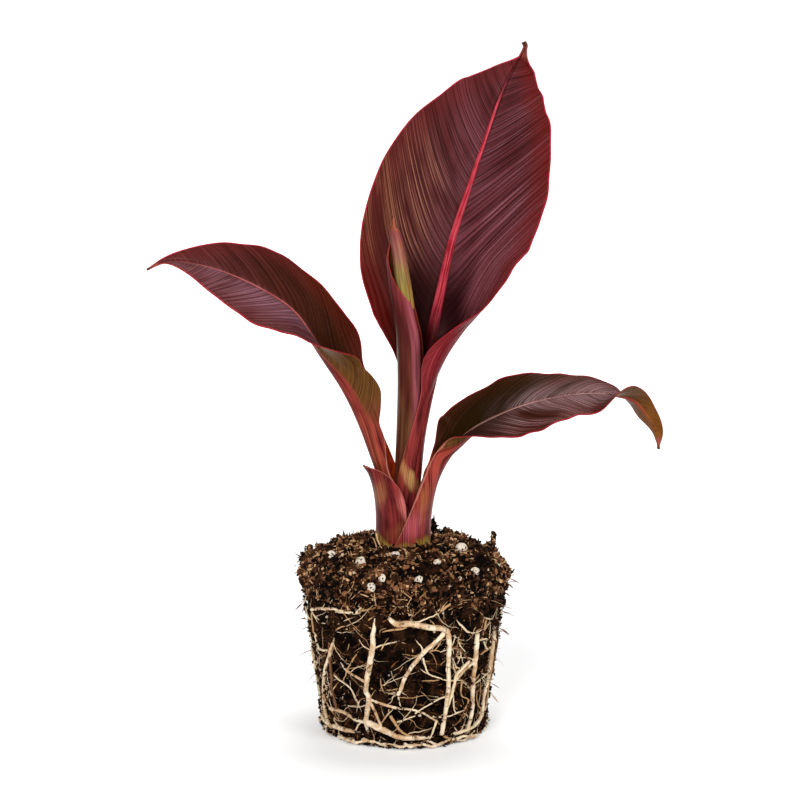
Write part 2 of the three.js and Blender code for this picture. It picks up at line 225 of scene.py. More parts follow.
# %% Lights and room
LIGHTS = [
    ("light_high_back", (0.1, 0.5, 1.45), (0, 0, 0.12), 0.8, 15),
    ("light_left_front", (-0.6, -1.5, 1.0), (0, 0, 0.16), 0.9, 27),
    ("light_right_front", (1.1, -0.9, 0.8), (0, 0, 0.16), 0.6, 11),
]
ROOM_LIGHT = 0.15
ROOM_SEEN = 0.9
for name, place, aim, size, power in LIGHTS:
    turn = (Vector(aim) - Vector(place)).to_track_quat("-Z", "Y").to_euler()
    bpy.ops.object.light_add(type="AREA", location=place, rotation=turn)
    light = bpy.context.object
    light.name = name
    light.data.size = size
    light.data.energy = power
room = bpy.data.worlds.new("white_room")
bpy.context.scene.world = room
room.use_nodes = True
seen = Wire(room.node_tree).node("ShaderNodeLightPath", out="Is Camera Ray")
backdrop = room.node_tree.nodes["Background"]
fixed(backdrop, {"Color": WHITE})
attach(seen * ROOM_SEEN + ROOM_LIGHT, backdrop, "Strength")
print("lights:", [light[0] for light in LIGHTS])

# %% [markdown]
# ## The law of a leaf
#
# A banana leaf is one long sheet: a sheath wrapped round the stem, a channelled stalk and a blade.
# Its shape is given at a few stations from foot to tip: the place of the rib, the way it faces, the
# two half widths, how far each half curls and folds, and the keel under the rib. A smooth curve
# runs through each of these numbers. By hand this would be a grid on a curve, bent by many
# proportional edits. A law gives the same sheet, and with nearly the same numbers it gave the solids.


# %% Stations and smooth curves
def station(rib, heading, roll, width, turn, fold, keel):
    """Millimetres and degrees. Pairs give the half at the left of the leaf's travel first."""
    return [*rib, heading, roll, *width, *turn, *fold, *keel]


def sheath(reach, curve, bearing, height, wrap, keel):
    """A station of a sheath round the stem."""
    a = math.radians(bearing)
    width = [curve * math.radians(w) for w in wrap]
    return station([reach * math.cos(a), reach * math.sin(a), height], bearing, 0, width, wrap, [0, 0], keel)


def along(values, places):
    """Smooth values at places between equally spaced rows of numbers."""
    v = np.asarray(values, float)
    i = np.clip(np.floor(places).astype(int), 0, len(v) - 2)
    f = (places - i)[:, None]
    v = np.vstack([2 * v[0] - v[1], v, 2 * v[-1] - v[-2]])
    a, b, c, d = v[i], v[i + 1], v[i + 2], v[i + 3]
    return b + 0.5 * f * (c - a + f * (2 * a - 5 * b + 4 * c - d + f * (3 * (b - c) + d - a)))


def turned(v, axis, angle):
    """Rows of v turned about rows of unit axes."""
    c, s = np.cos(angle)[:, None], np.sin(angle)[:, None]
    return v * c + np.cross(axis, v) * s + axis * (v * axis).sum(1, keepdims=True) * (1 - c)


def unit(rows):
    """The same directions, with length 1."""
    return rows / np.linalg.norm(rows, axis=-1, keepdims=True)


def runs_along(points):
    """The length of a path up to each of its points."""
    return np.concatenate([[0], np.cumsum(np.linalg.norm(np.diff(points, axis=0), axis=1))])


def round_about(reach, bearing, height):
    """Points from their distances from the upright axis, bearings in radians and heights."""
    return np.stack([reach * np.cos(bearing), reach * np.sin(bearing), height], 1)


STEM_FOOT = 82
print("leaf law ready, stem foot at", STEM_FOOT, "mm")

# %% [markdown]
# ## From a grid to a leaf
#
# Each leaf starts as a flat grid primitive. Its length becomes the run along the rib and its width
# the run from margin to margin. On top of the law come the details that catch the light: the groove
# along the rib, the pleats between the side veins and the waves of the margin. The side veins leave
# the rib at a wide angle and bend towards the tip, so a vein coordinate that is constant along each
# of them is kept on the mesh, for the pleats and for the colours. Solidify then gives the sheet its
# thickness and its keel.


# %% Leaf helpers
WALL_STEPS = 100


def smooth(value, low, high):
    """0 at low, 1 at high, smooth between them."""
    share = np.clip((value - low) / (high - low), 0, 1)
    return share * share * (3 - 2 * share)


def new_grid(name, rows, columns):
    """A grid primitive from -1 to 1 both ways, and its corner coordinates."""
    bpy.ops.object.select_all(action="DESELECT")
    bpy.ops.mesh.primitive_grid_add(x_subdivisions=rows, y_subdivisions=columns, size=2)
    piece = bpy.context.object
    piece.name = piece.data.name = name
    flat = np.zeros(len(piece.data.vertices) * 3, np.float32)
    piece.data.vertices.foreach_get("co", flat)
    return piece, flat.reshape(-1, 3).astype(float)


def put(piece, points):
    """Moves the piece's points to places in millimetres."""
    piece.data.vertices.foreach_set("co", (np.asarray(points) * MM).astype(np.float32).ravel())
    piece.data.update()


def note(piece, name, values):
    """Keeps one number per point on the mesh, for its material."""
    attribute = piece.data.attributes.new(name, "FLOAT", "POINT")
    attribute.data.foreach_set("value", np.asarray(values, np.float32))


def thicken(piece, weights, thickness):
    """Solid wall on the lower side, as thick at each point as its weight says."""
    group = piece.vertex_groups.new(name="wall")
    steps = np.round(np.clip(weights, 0, 1) * WALL_STEPS).astype(int)
    for step in np.unique(steps):
        group.add(np.nonzero(steps == step)[0].tolist(), float(step) / WALL_STEPS, "REPLACE")
    wall = piece.modifiers.new("wall", "SOLIDIFY")
    wall.thickness = thickness * MM
    wall.offset = -1
    wall.vertex_group = "wall"
    wall.material_offset = 1
    wall.material_offset_rim = 1
    bpy.ops.object.modifier_apply(modifier="wall")
    piece.vertex_groups.clear()


def settle(piece, slot, *nodes, soft=True):
    """Smooth or flat shading, and the piece's place in the frame."""
    bpy.ops.object.select_all(action="DESELECT")
    piece.select_set(True)
    bpy.context.view_layer.objects.active = piece
    if soft:
        bpy.ops.object.shade_smooth()
    else:
        bpy.ops.object.shade_flat()
    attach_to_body(piece, "root")
    if nodes:
        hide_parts(*nodes)
    print(piece.name, len(piece.data.polygons), "faces")


print("leaf helpers ready")

# %% [markdown]
# ## Along the rib
#
# The rib is the leaf's backbone, so every point of the grid is first given its run along it. The
# stalk is plain and gets longer steps, and the blade gets shorter ones, for its pleats. At each place
# three ways are then known: ahead along the rib, across the leaf, and up from its face.

# %% Runs and ways along the rib
HEADING, ROLL, WIDTH, TURN, FOLD, KEEL, WALL = 3, 4, 5, 7, 9, 11, 12
RIB_SAMPLES = 4000
STALK_PACE = 0.45
A_BIT = 0.001


def rib_runs(table, blade_at, share):
    """Each point's run and place among the stations, then the whole run and where the blade starts."""
    fine = np.linspace(0, len(table) - 1, RIB_SAMPLES)
    length = runs_along(along(table[:, :3], fine))
    blade_from = np.interp(blade_at, fine, length)
    pace = np.where(length < blade_from, STALK_PACE, 1.0)
    paced = np.concatenate([[0], np.cumsum(np.diff(length) * pace[1:])])
    run = np.interp(share * paced[-1], paced, length)
    return run, np.interp(run, length, fine), length[-1], blade_from


def rib_ways(table, place, now):
    """The ways across the leaf and up from it, rolled as the stations say."""
    ahead = along(table[:, :3], np.minimum(place + A_BIT, len(table) - 1))
    behind = along(table[:, :3], np.maximum(place - A_BIT, 0))
    travel = unit(ahead - behind)
    heading, roll = np.radians(now[:, HEADING]), np.radians(now[:, ROLL])
    up = unit(np.cross(travel, round_about(1, heading + math.pi / 2, 0 * heading)))
    return turned(np.cross(up, travel), travel, roll), turned(up, travel, roll)


print("rib ways ready")

# %% [markdown]
# ## Relief and the whole leaf
#
# A groove runs along the rib between two low shoulders, the blade is pleated between its veins, and
# the margin waves up and down. These are sums of sines and soft bumps along the normal. The two
# halves curl away from the rib on arcs of their own. A nick takes a little off one margin, or adds
# to it, because no real leaf is quite even.

# %% Relief
VEIN_LEAN = 0.78
VEIN_BEND = 0.86
PLEAT_DRIFT, DRIFT_RUN = 1.3, 7.3
BLADE_FADE, TIP_FADE = (-6, 18), (8, 42)
LEAST_TURN = 1e-4
KEEL_REACH = 1.8


def leaf_relief(detail, run, vein, inward, q, sign, keel, fade):
    """Lift along the normal: the rib's groove, the pleats and the waves of the margin."""
    groove = -detail["groove"] * np.exp(-((inward / (0.55 * keel)) ** 2))
    shoulder = 0.35 * detail["groove"] * np.exp(-(((inward - 1.15 * keel) / (0.5 * keel)) ** 2))
    pleat = np.sin(2 * math.pi * vein / detail["pleat"] + PLEAT_DRIFT * np.sin(vein / DRIFT_RUN))
    pleat *= 0.65 + 0.35 * np.sin(vein / 11.7 + 2 * sign)
    pleat += 0.55 * np.sin(2 * math.pi * vein / (0.41 * detail["pleat"]) + 1.7 * np.sin(vein / 5.1) + sign)
    reach = smooth(inward, 1.2 * keel, 5 * keel) * (1 - 0.6 * smooth(q, 0.85, 1.0))
    wave = np.sin(run / detail["wave"] + 2.1 * sign) + 0.6 * np.sin(run / (0.47 * detail["wave"]) + 1.0)
    return groove + shoulder + (detail["relief"] * pleat * reach + detail["ripple"] * wave * q**3) * fade


print("relief ready")


# %% One leaf
def leaf(name, stations, rows, columns, detail):
    """A leaf from its stations. detail: where the blade starts, the sizes of its relief, and its finishes."""
    piece, flat = new_grid(name, rows, 2 * columns)
    table = np.array(stations, float)
    run, place, whole, blade_from = rib_runs(table, detail["blade"], (flat[:, 0] + 1) / 2)
    blade_run = whole - blade_from
    now = along(table, place)
    across, up = rib_ways(table, place, now)

    # Each half: its width with the nicks, and the arc on which it curls. q runs from rib to margin.
    half, each = np.where(flat[:, 1] >= 0, 0, 1), np.arange(len(flat))
    sign, q = 1.0 - 2 * half, np.abs(flat[:, 1])
    width = now[each, WIDTH + half]
    for nicked, at, depth, reach in detail["nicks"]:
        gap = depth * np.exp(-(((run - blade_from - at * blade_run) / reach) ** 2))
        width = width - np.where(sign == nicked, gap, 0)
    width = np.maximum(width, detail["tip"])
    turn = np.radians(now[each, TURN + half])
    turn = np.where(np.abs(turn) < LEAST_TURN, LEAST_TURN, turn)
    fold = np.radians(now[each, FOLD + half])
    slope = fold + turn * q
    out = width / turn * (np.sin(slope) - np.sin(fold))
    rise = width / turn * (np.cos(fold) - np.cos(slope))
    normal = up * np.cos(slope)[:, None] - across * (sign * np.sin(slope))[:, None]
    point = now[:, :3] + across * (sign * out)[:, None] + up * rise[:, None]

    inward = q * width
    vein = run - VEIN_LEAN * inward - VEIN_BEND * inward**2 / table[:, WIDTH:TURN].max()
    keel = np.interp(place, np.arange(len(table)), detail["keel"])
    fade = smooth(run - blade_from, *BLADE_FADE) * smooth(whole - run, *TIP_FADE)
    lift = leaf_relief(detail, run, vein, inward, q, sign, keel, fade)
    put(piece, point + normal * lift[:, None])

    note(piece, "vein", vein)
    note(piece, "inward", sign * inward)
    note(piece, "edge", width * (1 - q))
    note(piece, "blade", (run - blade_from) / blade_run)
    note(piece, "keel", inward / keel)
    under_rib = np.sqrt(np.clip(1 - (inward / (KEEL_REACH * keel)) ** 2, 0, 1))
    wall = now[:, WALL] + (now[:, KEEL] - now[:, WALL]) * under_rib
    for finish in detail["finishes"]:
        piece.data.materials.append(finish)
    thicken(piece, wall / wall.max(), float(wall.max()))
    return piece


print("leaf builder ready")

# %% [markdown]
# ## Leaf finishes
#
# The upper face is a dark maroon with bronze streaks that follow the veins, a pink rib and a crimson
# margin. The lower face is olive brown in the blade and red along the keel, and it turns into the
# red sheath with ochre streaks and a yellow-green foot. Both faces read the numbers kept on the
# mesh, so that every streak follows the leaf. A soft clear gloss adds a little sheen, and the grey
# sheen beside the rib is painted into the colour.


# %% Streaks, spots and gloss
LEAF_NOTES = ("vein", "inward", "edge", "blade", "keel")
MOTTLE = (160.0, 3.0)
BLOTCH = (120.0, 3.0)
DRY_END, DRY_POINT = paint(132, 66, 58), paint(78, 42, 30)
LEAF_SHINE = {"Specular IOR Level": 0.1, "Specular Tint": (1.0, 0.34, 0.32, 1.0)}
LEAF_COAT = {"Coat Weight": 0.014, "Coat Roughness": 0.28}


def streaks(start, lengthwise, crosswise):
    """Noise drawn out along one direction, from 0 to 1."""
    vector = start.node("ShaderNodeCombineXYZ", None, {0: lengthwise, 1: crosswise, 2: 0.0})
    sockets = {"Vector": vector, "Scale": 1.0, "Detail": 2.0, "Roughness": 0.55}
    return start.node("ShaderNodeTexNoise", {"noise_dimensions": "2D"}, sockets)


def patches(start, colour, spots, drawn, hair):
    """Streaky spots on the side that faces the viewer, most of them the stem's own colour and a few of them
    painted sheen and highlight. Each spot: tint, share, middle, half size, lean.
    """
    x, y, z = [in_mm(start, axis) for axis in range(3)]
    blotch = noise(start, *BLOTCH)
    streak = hair.ease(0.3, 0.62) * 0.75 + 0.25
    for tint, share, (x0, z0), (half_x, half_z), lean in spots:
        across, up = (x - x0 - (z - z0) * lean) / half_x, (z - z0) / half_z
        far = across * across + up * up + blotch * 1.4 + drawn * 2.6 - 2.0
        colour = (far.ease(1.5, -0.3) * streak * y.ease(3, 0) * share).blend(colour, tint)
    return colour


def folds(vein, pleat):
    """The same pleats as in the mesh, from -1 to 1."""
    return (vein * (2 * math.pi / pleat) + (vein / DRIFT_RUN).sine() * PLEAT_DRIFT).sine()


def dried(colour, blade):
    """The leaf's end dries to tan, and its very point to brown."""
    colour = (blade.ease(0.945, 0.965) * 0.8).blend(colour, DRY_END)
    return blade.ease(0.98, 0.995).blend(colour, DRY_POINT)


def gloss(start, shader, rough, strength, distance, height):
    """Satin gloss with a thin coat, and fine relief."""
    attach(rough, shader, "Roughness")
    relief(start, shader, strength, distance, height)
    fixed(shader, LEAF_SHINE | LEAF_COAT)


print("streaks ready")

# %% [markdown]
# ## The upper face
#
# Layers, from the ground up, as a painter would lay them: dark and light veins with a little painted
# shade in the grooves of the pleats, a painted grey sheen beside the rib, bronze streaks, painted
# highlight lines, a painted red glow of light through the margin, painted shade at the base, and
# last the pink rib. Each layer is one Mix node, and its share says where it lies and how much of it
# shows.

# %% Upper face
MARGIN_RED = paint(166, 22, 44)
# Painted shade at the foot of the rib.
RIB_FOOT_SHADE = paint(52, 3, 5)


def upper_face(name, pleat, halves, painted_sheen, backlit_glow, rib, deep, inner, bronze=None):
    """halves: two tones each for the left half, the right half and the tip. inner: of the sheath's inside.

    painted_sheen: tint, share, reach from the rib, and 1 for the left half alone, of the painted grey
    sheen. backlit_glow: tint, share and reach from the margin, of the painted red glow of light shining
    through the leaf. rib: two tones, half width and end along the blade. deep: tint and share of
    the painted shade at the base. bronze: tint, share and start along the blade.
    """
    material, start, shader = finish_named(name)
    vein, inward, edge, blade = [kept(start, n) for n in LEAF_NOTES[:4]]
    mottle = noise(start, *MOTTLE)
    fold = folds(vein, pleat)
    fine = streaks(start, vein * 1.15, inward * 0.03)
    thread = streaks(start, vein * 2.1, inward * 0.02)
    cloud = streaks(start, vein * 0.06, inward * 0.05)
    grain = streaks(start, inward * 1.5, blade * 7)
    drawn = thread * 0.6 + fine * 0.4

    # The pleat term is painted shade and light: a little darker in the pleats' grooves, lighter on their
    # crests.
    tone = (fold * 0.04 + fine * 0.45 + thread * 0.6 + (cloud - 0.5) * 0.16).ease(0.355, 0.69)
    left, right, tipward = [tone.blend(*pair) for pair in halves]
    colour = inward.ease(-0.5, 0.5).blend(right, left)
    colour = (blade + cloud * 0.3).ease(0.45, 0.9).blend(colour, tipward)

    # Painted grey sheen beside the rib, in streaks along the veins.
    tint, share, reach, left_alone = painted_sheen
    near = abs(inward).ease(reach, 1.0) * (inward * left_alone).ease(-2, 2) * cloud.ease(0.25, 0.6)
    near = near * blade.ease(0.16, 0.36) * blade.ease(1.0, 0.6)
    colour = (near * (drawn.ease(0.48, 0.62) * 0.85 + 0.15) * share).blend(colour, tint)
    if bronze:
        bronze_tint, bronze_share, at = bronze
        lines = (thread * 0.7 + fine * 0.3).ease(0.51, 0.64) * cloud.ease(0.36, 0.56)
        zone = inward.ease(5, 18) * blade.ease(at - 0.12, at + 0.06) * blade.ease(at + 0.42, at + 0.18)
        colour = (lines * zone * bronze_share).blend(colour, bronze_tint)
    if not left_alone:
        # Painted highlight lines in the sheen's tint, along the veins of the right half.
        pale = drawn.ease(0.54, 0.66) * cloud.ease(0.4, 0.58) * inward.ease(-3, -12) * blade.ease(0.15, 0.3)
        colour = (pale * 0.55).blend(colour, tint)

    # Painted glow: a warm red zone inside the margin stands for light shining through the thin leaf.
    tint, share, reach = backlit_glow
    less_left = 1 - 0.6 * inward.ease(-2, 2) * blade.ease(0.15, 0.4)
    colour = ((edge - cloud * 8).ease(reach, -2) * less_left * share).blend(colour, tint)
    colour = ((edge + mottle * 0.4).ease(0.95, 0.5) * 0.85).blend(colour, MARGIN_RED)
    # Painted shade: the base of the blade beside the rib, which lies in shadow, turns dark.
    tint, share = deep
    colour = (blade.ease(0.38, 0.2) * abs(inward).ease(24, 9) * share).blend(colour, tint)

    *rib_tones, half_width, end = rib
    width = half_width * (1 - 0.85 * blade.ease(0.1, 0.9))
    on_rib = (abs(inward) / width).ease(1.0, 0.75) * blade.ease(end + 0.14, end)
    rib_colour = (grain * 0.7 + mottle * 0.3).ease(0.36, 0.62).blend(*rib_tones)
    # The rib's foot darkens too, as painted shade.
    rib_colour = (blade.ease(0.25, 0.09) * min(1.0, 1.1 * share)).blend(rib_colour, RIB_FOOT_SHADE)
    colour = on_rib.blend(colour, rib_colour)
    colour = blade.ease(-0.02, -0.12).blend(colour, fine.ease(0.35, 0.65).blend(*inner))
    attach(dried(colour, blade), shader, "Base Color")
    gloss(start, shader, 0.46 - 0.16 * fine, 0.45, 0.0006, thread * 0.7 + fine * 0.5 + fold * 0.15)
    return material


print("upper face ready")

# %% [markdown]
# ## The lower face
#
# One finish covers the outside of the whole leaf, from the pale band at the foot of the sheath up
# the red stalk to the brown blade. The number kept as `blade` says where one turns into the next.

# %% Lower face
FOOT_TONES = (paint(126, 104, 34), paint(172, 140, 74))
BLADE_MARGIN = paint(140, 24, 36)


def lower_face(name, wing, stem, spots, foot, margin, tip):
    """wing, stem and tip: two tones each. spots as for patches. foot: height and lean of its pale band."""
    material, start, shader = finish_named(name)
    vein, inward, edge, blade, keel = [kept(start, n) for n in LEAF_NOTES]
    x, z = in_mm(start, 0), in_mm(start, 2)
    mottle = noise(start, *MOTTLE)
    drawn = streaks(start, inward * 0.55, z * 0.03)
    hair = streaks(start, inward * 2.6, z * 0.02)
    fine = streaks(start, vein * 0.8, inward * 0.03)
    thread = streaks(start, vein * 2.4, inward * 0.02)

    wing_colour = (fine * 0.4 + thread * 0.25 + mottle * 0.1 + hair * 0.25).ease(0.34, 0.68).blend(*wing)
    stem_colour = (drawn * 0.5 + hair * 0.38 + mottle * 0.12).ease(0.36, 0.64).blend(*stem)
    stem_colour = patches(start, stem_colour, spots, drawn, hair)
    colour = (blade.ease(-0.14, 0.04) * keel.ease(0.85, 1.5)).blend(stem_colour, wing_colour)
    colour = blade.ease(0.74, 0.92).blend(colour, (fine * 0.5 + mottle * 0.5).ease(0.2, 0.8).blend(*tip))

    rise, lean = foot
    band = z + x * lean + (mottle - 0.5) * 6 + (drawn - 0.5) * 4
    low = band.ease(STEM_FOOT + rise + 1.5, STEM_FOOT + rise - 2.5)
    colour = (low * 0.9).blend(colour, hair.ease(0.35, 0.65).blend(*FOOT_TONES))
    rim = (edge + mottle * 0.3).ease(0.36, 0.22) * 0.7
    colour = rim.blend(colour, blade.ease(0.0, 0.12).blend(margin, BLADE_MARGIN))
    attach(dried(colour, blade), shader, "Base Color")
    gloss(start, shader, 0.46 - 0.14 * drawn, 0.3, 0.0005, thread * 0.4 + drawn * 0.5 + hair * 0.4)
    return material


print("lower face ready")

# %% [markdown]
# ## The upright back leaf
#
# The largest leaf stands behind the rolled one and faces the viewer. Its right half curls forward at
# the base and shows its red outer side before it opens flat.

# %% Back leaf
BACK_LEAF = [
    sheath(5.1, 5.1, 40, STEM_FOOT, [120, 185], [1.2, 0.5]),
    sheath(5.1, 5.1, 40, 97, [115, 182], [1.2, 0.5]),
    station([4.9, 3.3, 113], 42, 0, [10, 15.4], [108, 172], [0, 0], [1.4, 0.5]),
    station([6.1, 3.9, 130], 48, 0, [9, 13], [80, 140], [0, 0], [1.8, 0.5]),
    station([8.7, 4.8, 147.5], 62, 0, [9, 12.5], [40, 135], [-4, 5], [2.3, 0.5]),
    station([10.2, 6.4, 162.5], 76, -8, [15, 24.2], [30, 181], [8, -15], [2.6, 0.5]),
    station([12.5, 9, 176], 84, -12, [27, 30], [15, 140], [18, -20], [2.6, 0.45]),
    station([15.6, 12.5, 188.5], 88, -20, [34.9, 41.6], [5, 40], [24, 16], [2.5, 0.45]),
    station([21.1, 19.5, 212], 88, -22, [40, 47.6], [0, 6], [24, 22], [2.2, 0.45]),
    station([30.2, 26, 240], 88, -17, [37.8, 39.3], [-5, 0], [18, 18], [1.7, 0.45]),
    station([38.9, 31, 265.5], 88, -10, [23.8, 27.5], [-4, 0], [12, 12], [1.2, 0.45]),
    station([42.4, 32.7, 274.2], 88, -10, [16.2, 21.3], [-2.5, 5], [10.6, 10.6], [1.0, 0.45]),
    station([45.2, 33.8, 280.5], 88, -10, [8.5, 16.4], [0, 10], [10, 10], [0.9, 0.45]),
    station([48.6, 34.4, 286.2], 88, -10, [2.6, 9.4], [10, 10], [10, 10], [0.8, 0.45]),
    station([50.2, 34.6, 288.8], 88, -10, [0.9, 5.3], [30, 30], [30, 30], [0.7, 0.45]),
    station([52, 34.8, 292.8], 88, -10, [0.75, 0.75], [50, 50], [30, 30], [0.7, 0.45]),
    station([51.3, 34.8, 295], 88, -10, [0.5, 0.5], [50, 50], [30, 30], [0.7, 0.45]),
]
BACK_PLEAT = 4.6
back_upper = upper_face(
    "back_leaf_face", BACK_PLEAT,
    halves=[
        (paint(27, 5, 4), paint(70, 24, 20)), (paint(44, 14, 17), paint(124, 64, 70)),
        (paint(32, 7, 8), paint(82, 32, 35)),
    ],
    painted_sheen=(paint(144, 98, 112), 0.62, 30, 0), backlit_glow=(paint(98, 14, 6), 0.5, 11),
    rib=(paint(136, 22, 34), paint(196, 70, 84), 2.6, 0.76), deep=(paint(20, 2, 2), 0.92),
    inner=(paint(104, 26, 22), paint(132, 44, 34)), bronze=(paint(160, 110, 78), 0.6, 0.33),
)
back_lower = lower_face(
    "back_leaf_outside",
    wing=(paint(88, 18, 23), paint(138, 46, 52)), stem=(paint(52, 10, 11), paint(134, 48, 46)),
    spots=[
        (paint(104, 58, 26), 0.7, (-2.5, 118), (4, 12), 0),
        (paint(168, 128, 78), 0.95, (0.8, 113.5), (3.2, 11), -0.6),
    ],
    foot=(2, 0), margin=paint(180, 84, 76), tip=(paint(108, 26, 30), paint(136, 46, 48)),
)
back_detail = {
    "blade": 4.6, "tip": 0.45, "groove": 0.5, "pleat": BACK_PLEAT,
    "relief": 0.13, "wave": 5.2, "ripple": 0.45,
    "keel": [5, 5, 4.5, 4, 3.6, 3.2, 3, 2.7, 2.3, 1.8, 1.3, 1.1, 0.9, 0.6, 0.5, 0.5, 0.5],
    "nicks": [
        (-1, 0.85, 0.35, 1.8), (-1, 0.37, 0.35, 1.5), (1, 0.7, -1.4, 9.0), (-1, 0.55, -1.1, 9.0),
        (-1, 0.26, -1.1, 6.0), (-1, 0.1, -1.0, 8.0),
    ],
    "finishes": [back_upper, back_lower],
}
back_leaf = leaf("back_leaf", BACK_LEAF, 320, 60, back_detail)
settle(back_leaf, "leaf", "back_stalk", "back_blade")

# %% [markdown]
# ## The left leaf
#
# The left leaf rises, folds like a gutter and turns its face to the viewer as it arches over. Its
# roll in the stations does the turning, and its folds make the gutter.

# %% Left leaf
LEFT_LEAF = [
    sheath(7.1, 7.1, 178, STEM_FOOT, [130, 110], [1.2, 0.5]),
    sheath(7.1, 7.1, 178, 94, [116, 105], [1.2, 0.5]),
    station([-7.6, 0.2, 104], 180, 0, [9.6, 12], [90, 93], [0, 0], [1.4, 0.5]),
    station([-10.6, 0, 114], 183, 0, [5.6, 10], [65, 72], [12, 12], [1.7, 0.5]),
    station([-17.8, -1, 135.5], 186, 0, [10, 7.4], [45, 45], [40, 40], [2.2, 0.5]),
    station([-25.3, -2.5, 152], 188, 0, [13.4, 13.8], [42, 45], [45, 42], [2.3, 0.5]),
    station([-35.4, -4.5, 168.4], 190, -16, [17.2, 22], [28, 28], [20, 20], [2.2, 0.45]),
    station([-46, -8, 185], 190, -33, [18.4, 23], [8, 8], [5, 5], [1.9, 0.45]),
    station([-59.3, -12, 195.5], 190, -41, [19.5, 22.4], [-2, -2], [2, 2], [1.6, 0.45]),
    station([-75.5, -16, 204], 190, -46, [14.5, 15.6], [0, 0], [0, 0], [1.2, 0.45]),
    station([-90, -19, 208.5], 190, -44, [6.5, 7.5], [5, 5], [0, 0], [0.9, 0.45]),
    station([-100.5, -20, 209], 190, -25, [2.2, 2.2], [30, 30], [5, 5], [0.7, 0.45]),
    station([-108, -20.5, 206], 190, 0, [0, 0], [10, 10], [0, 0], [0.6, 0.45]),
]
SIDE_PLEAT = 4.2
left_upper = upper_face(
    "left_leaf_face", SIDE_PLEAT,
    halves=[
        (paint(44, 14, 15), paint(88, 42, 46)), (paint(34, 11, 1), paint(62, 26, 7)),
        (paint(46, 14, 14), paint(88, 41, 40)),
    ],
    painted_sheen=(paint(146, 104, 118), 0.85, 19, 1), backlit_glow=(paint(90, 15, 8), 0.3, 7),
    rib=(paint(124, 52, 50), paint(172, 92, 88), 0.9, 0.8), deep=(paint(22, 8, 1), 0.4),
    inner=(paint(186, 56, 14), paint(214, 86, 28)),
)
side_lower = lower_face(
    "side_leaf_outside",
    wing=(paint(52, 30, 10), paint(98, 64, 28)), stem=(paint(64, 13, 13), paint(148, 60, 50)),
    spots=[
        (paint(158, 96, 52), 0.75, (8.4, 101), (2.2, 9), 0.15),
        (paint(146, 74, 48), 0.6, (-12.5, 122), (3, 16), -0.4),
        # A painted lilac sheen low on the right sheath.
        (paint(192, 92, 104), 0.6, (4, 91.5), (5, 8), 0.3),
        (paint(140, 50, 36), 0.5, (17, 124), (5, 9), 0.6),
    ],
    foot=(1.4, -0.2), margin=paint(190, 120, 102), tip=(paint(78, 42, 10), paint(116, 70, 26)),
)
left_detail = {
    "blade": 4.4, "tip": 0.4, "groove": 0.35, "pleat": SIDE_PLEAT,
    "relief": 0.1, "wave": 4.6, "ripple": 0.4,
    "keel": [5, 5, 4.5, 4, 3.4, 3, 2.6, 2.2, 1.8, 1.4, 1, 0.7, 0.5],
    "nicks": [
        (1, 0.6, -0.4, 5.0), (1, 0.5, 0.4, 5.0), (1, 0.03, -1.6, 5.0), (1, -0.08, 2.0, 4.5),
        (1, 0.13, 1.7, 4.0), (-1, -0.06, 1.5, 6.0), (-1, 0.21, -1.8, 6.0), (-1, 0.11, 1.8, 5.0),
    ],
    "finishes": [left_upper, side_lower],
}
left_leaf = leaf("left_leaf", LEFT_LEAF, 300, 40, left_detail)
settle(left_leaf, "leaf", "left_stalk", "left_blade", "left_tip")

# %% [markdown]
# ## The right leaf
#
# The right leaf is shorter and lies flatter, and its tip hangs down and shows its ochre underside.
# The roll changes fast near the tip, and that twist turns the outside to the viewer. Both arching
# leaves share the finish of their outside, because they are of the same age.

# %% Right leaf
RIGHT_LEAF = [
    sheath(8.8, 11.6, -15, STEM_FOOT, [95, 84], [2.3, 0.5]),
    sheath(9, 11.8, -15, 93, [78, 59], [2.5, 0.5]),
    station([9.7, -2.6, 103], -15, 0, [10.2, 8.6], [62, 45], [0, 0], [2.9, 0.5]),
    station([11.8, -3.1, 113], -14, 0, [7.6, 4.2], [60, 55], [10, 10], [3.6, 0.5]),
    station([16, -4, 122], -13, 0, [6.8, 2.8], [50, 50], [25, 30], [3.9, 0.5]),
    station([22.2, -5.5, 128], -12, 5, [13.8, 6.2], [40, 40], [30, 15], [3, 0.5]),
    station([32.3, -8, 136.5], -12, 22, [19.1, 13.6], [14, 6], [8, 8], [2.2, 0.45]),
    station([49, -13, 145.5], -12, 33, [18.7, 17.6], [2, -2], [2, 0], [1.6, 0.45]),
    station([66, -18, 151], -12, 22, [15.5, 17.5], [2, -2], [0, 0], [1.3, 0.45]),
    station([82.5, -21, 153], -12, 16, [12, 13.4], [0, -7], [0, -2], [1.1, 0.45]),
    station([95.5, -23, 151], -12, -36, [9, 7.4], [10, 5], [5, 5], [0.9, 0.45]),
    station([102, -24, 144.5], -12, -55, [7, 5.4], [10, 10], [10, 10], [0.7, 0.45]),
    station([106.6, -24, 137], -12, -60, [3.3, 3], [10, 10], [10, 10], [0.6, 0.45]),
    station([107.8, -23, 129.2], -12, -60, [0, 0], [10, 10], [0, 0], [0.6, 0.45]),
]
right_upper = upper_face(
    "right_leaf_face", SIDE_PLEAT,
    halves=[
        (paint(24, 12, 1), paint(46, 27, 5)), (paint(40, 14, 7), paint(72, 32, 22)),
        (paint(44, 16, 10), paint(90, 44, 38)),
    ],
    painted_sheen=(paint(204, 168, 172), 0.95, 15, 0), backlit_glow=(paint(92, 17, 9), 0.15, 6),
    rib=(paint(108, 68, 62), paint(178, 140, 132), 0.7, 0.7), deep=(paint(20, 12, 1), 0.5),
    inner=(paint(186, 56, 18), paint(214, 88, 34)),
)
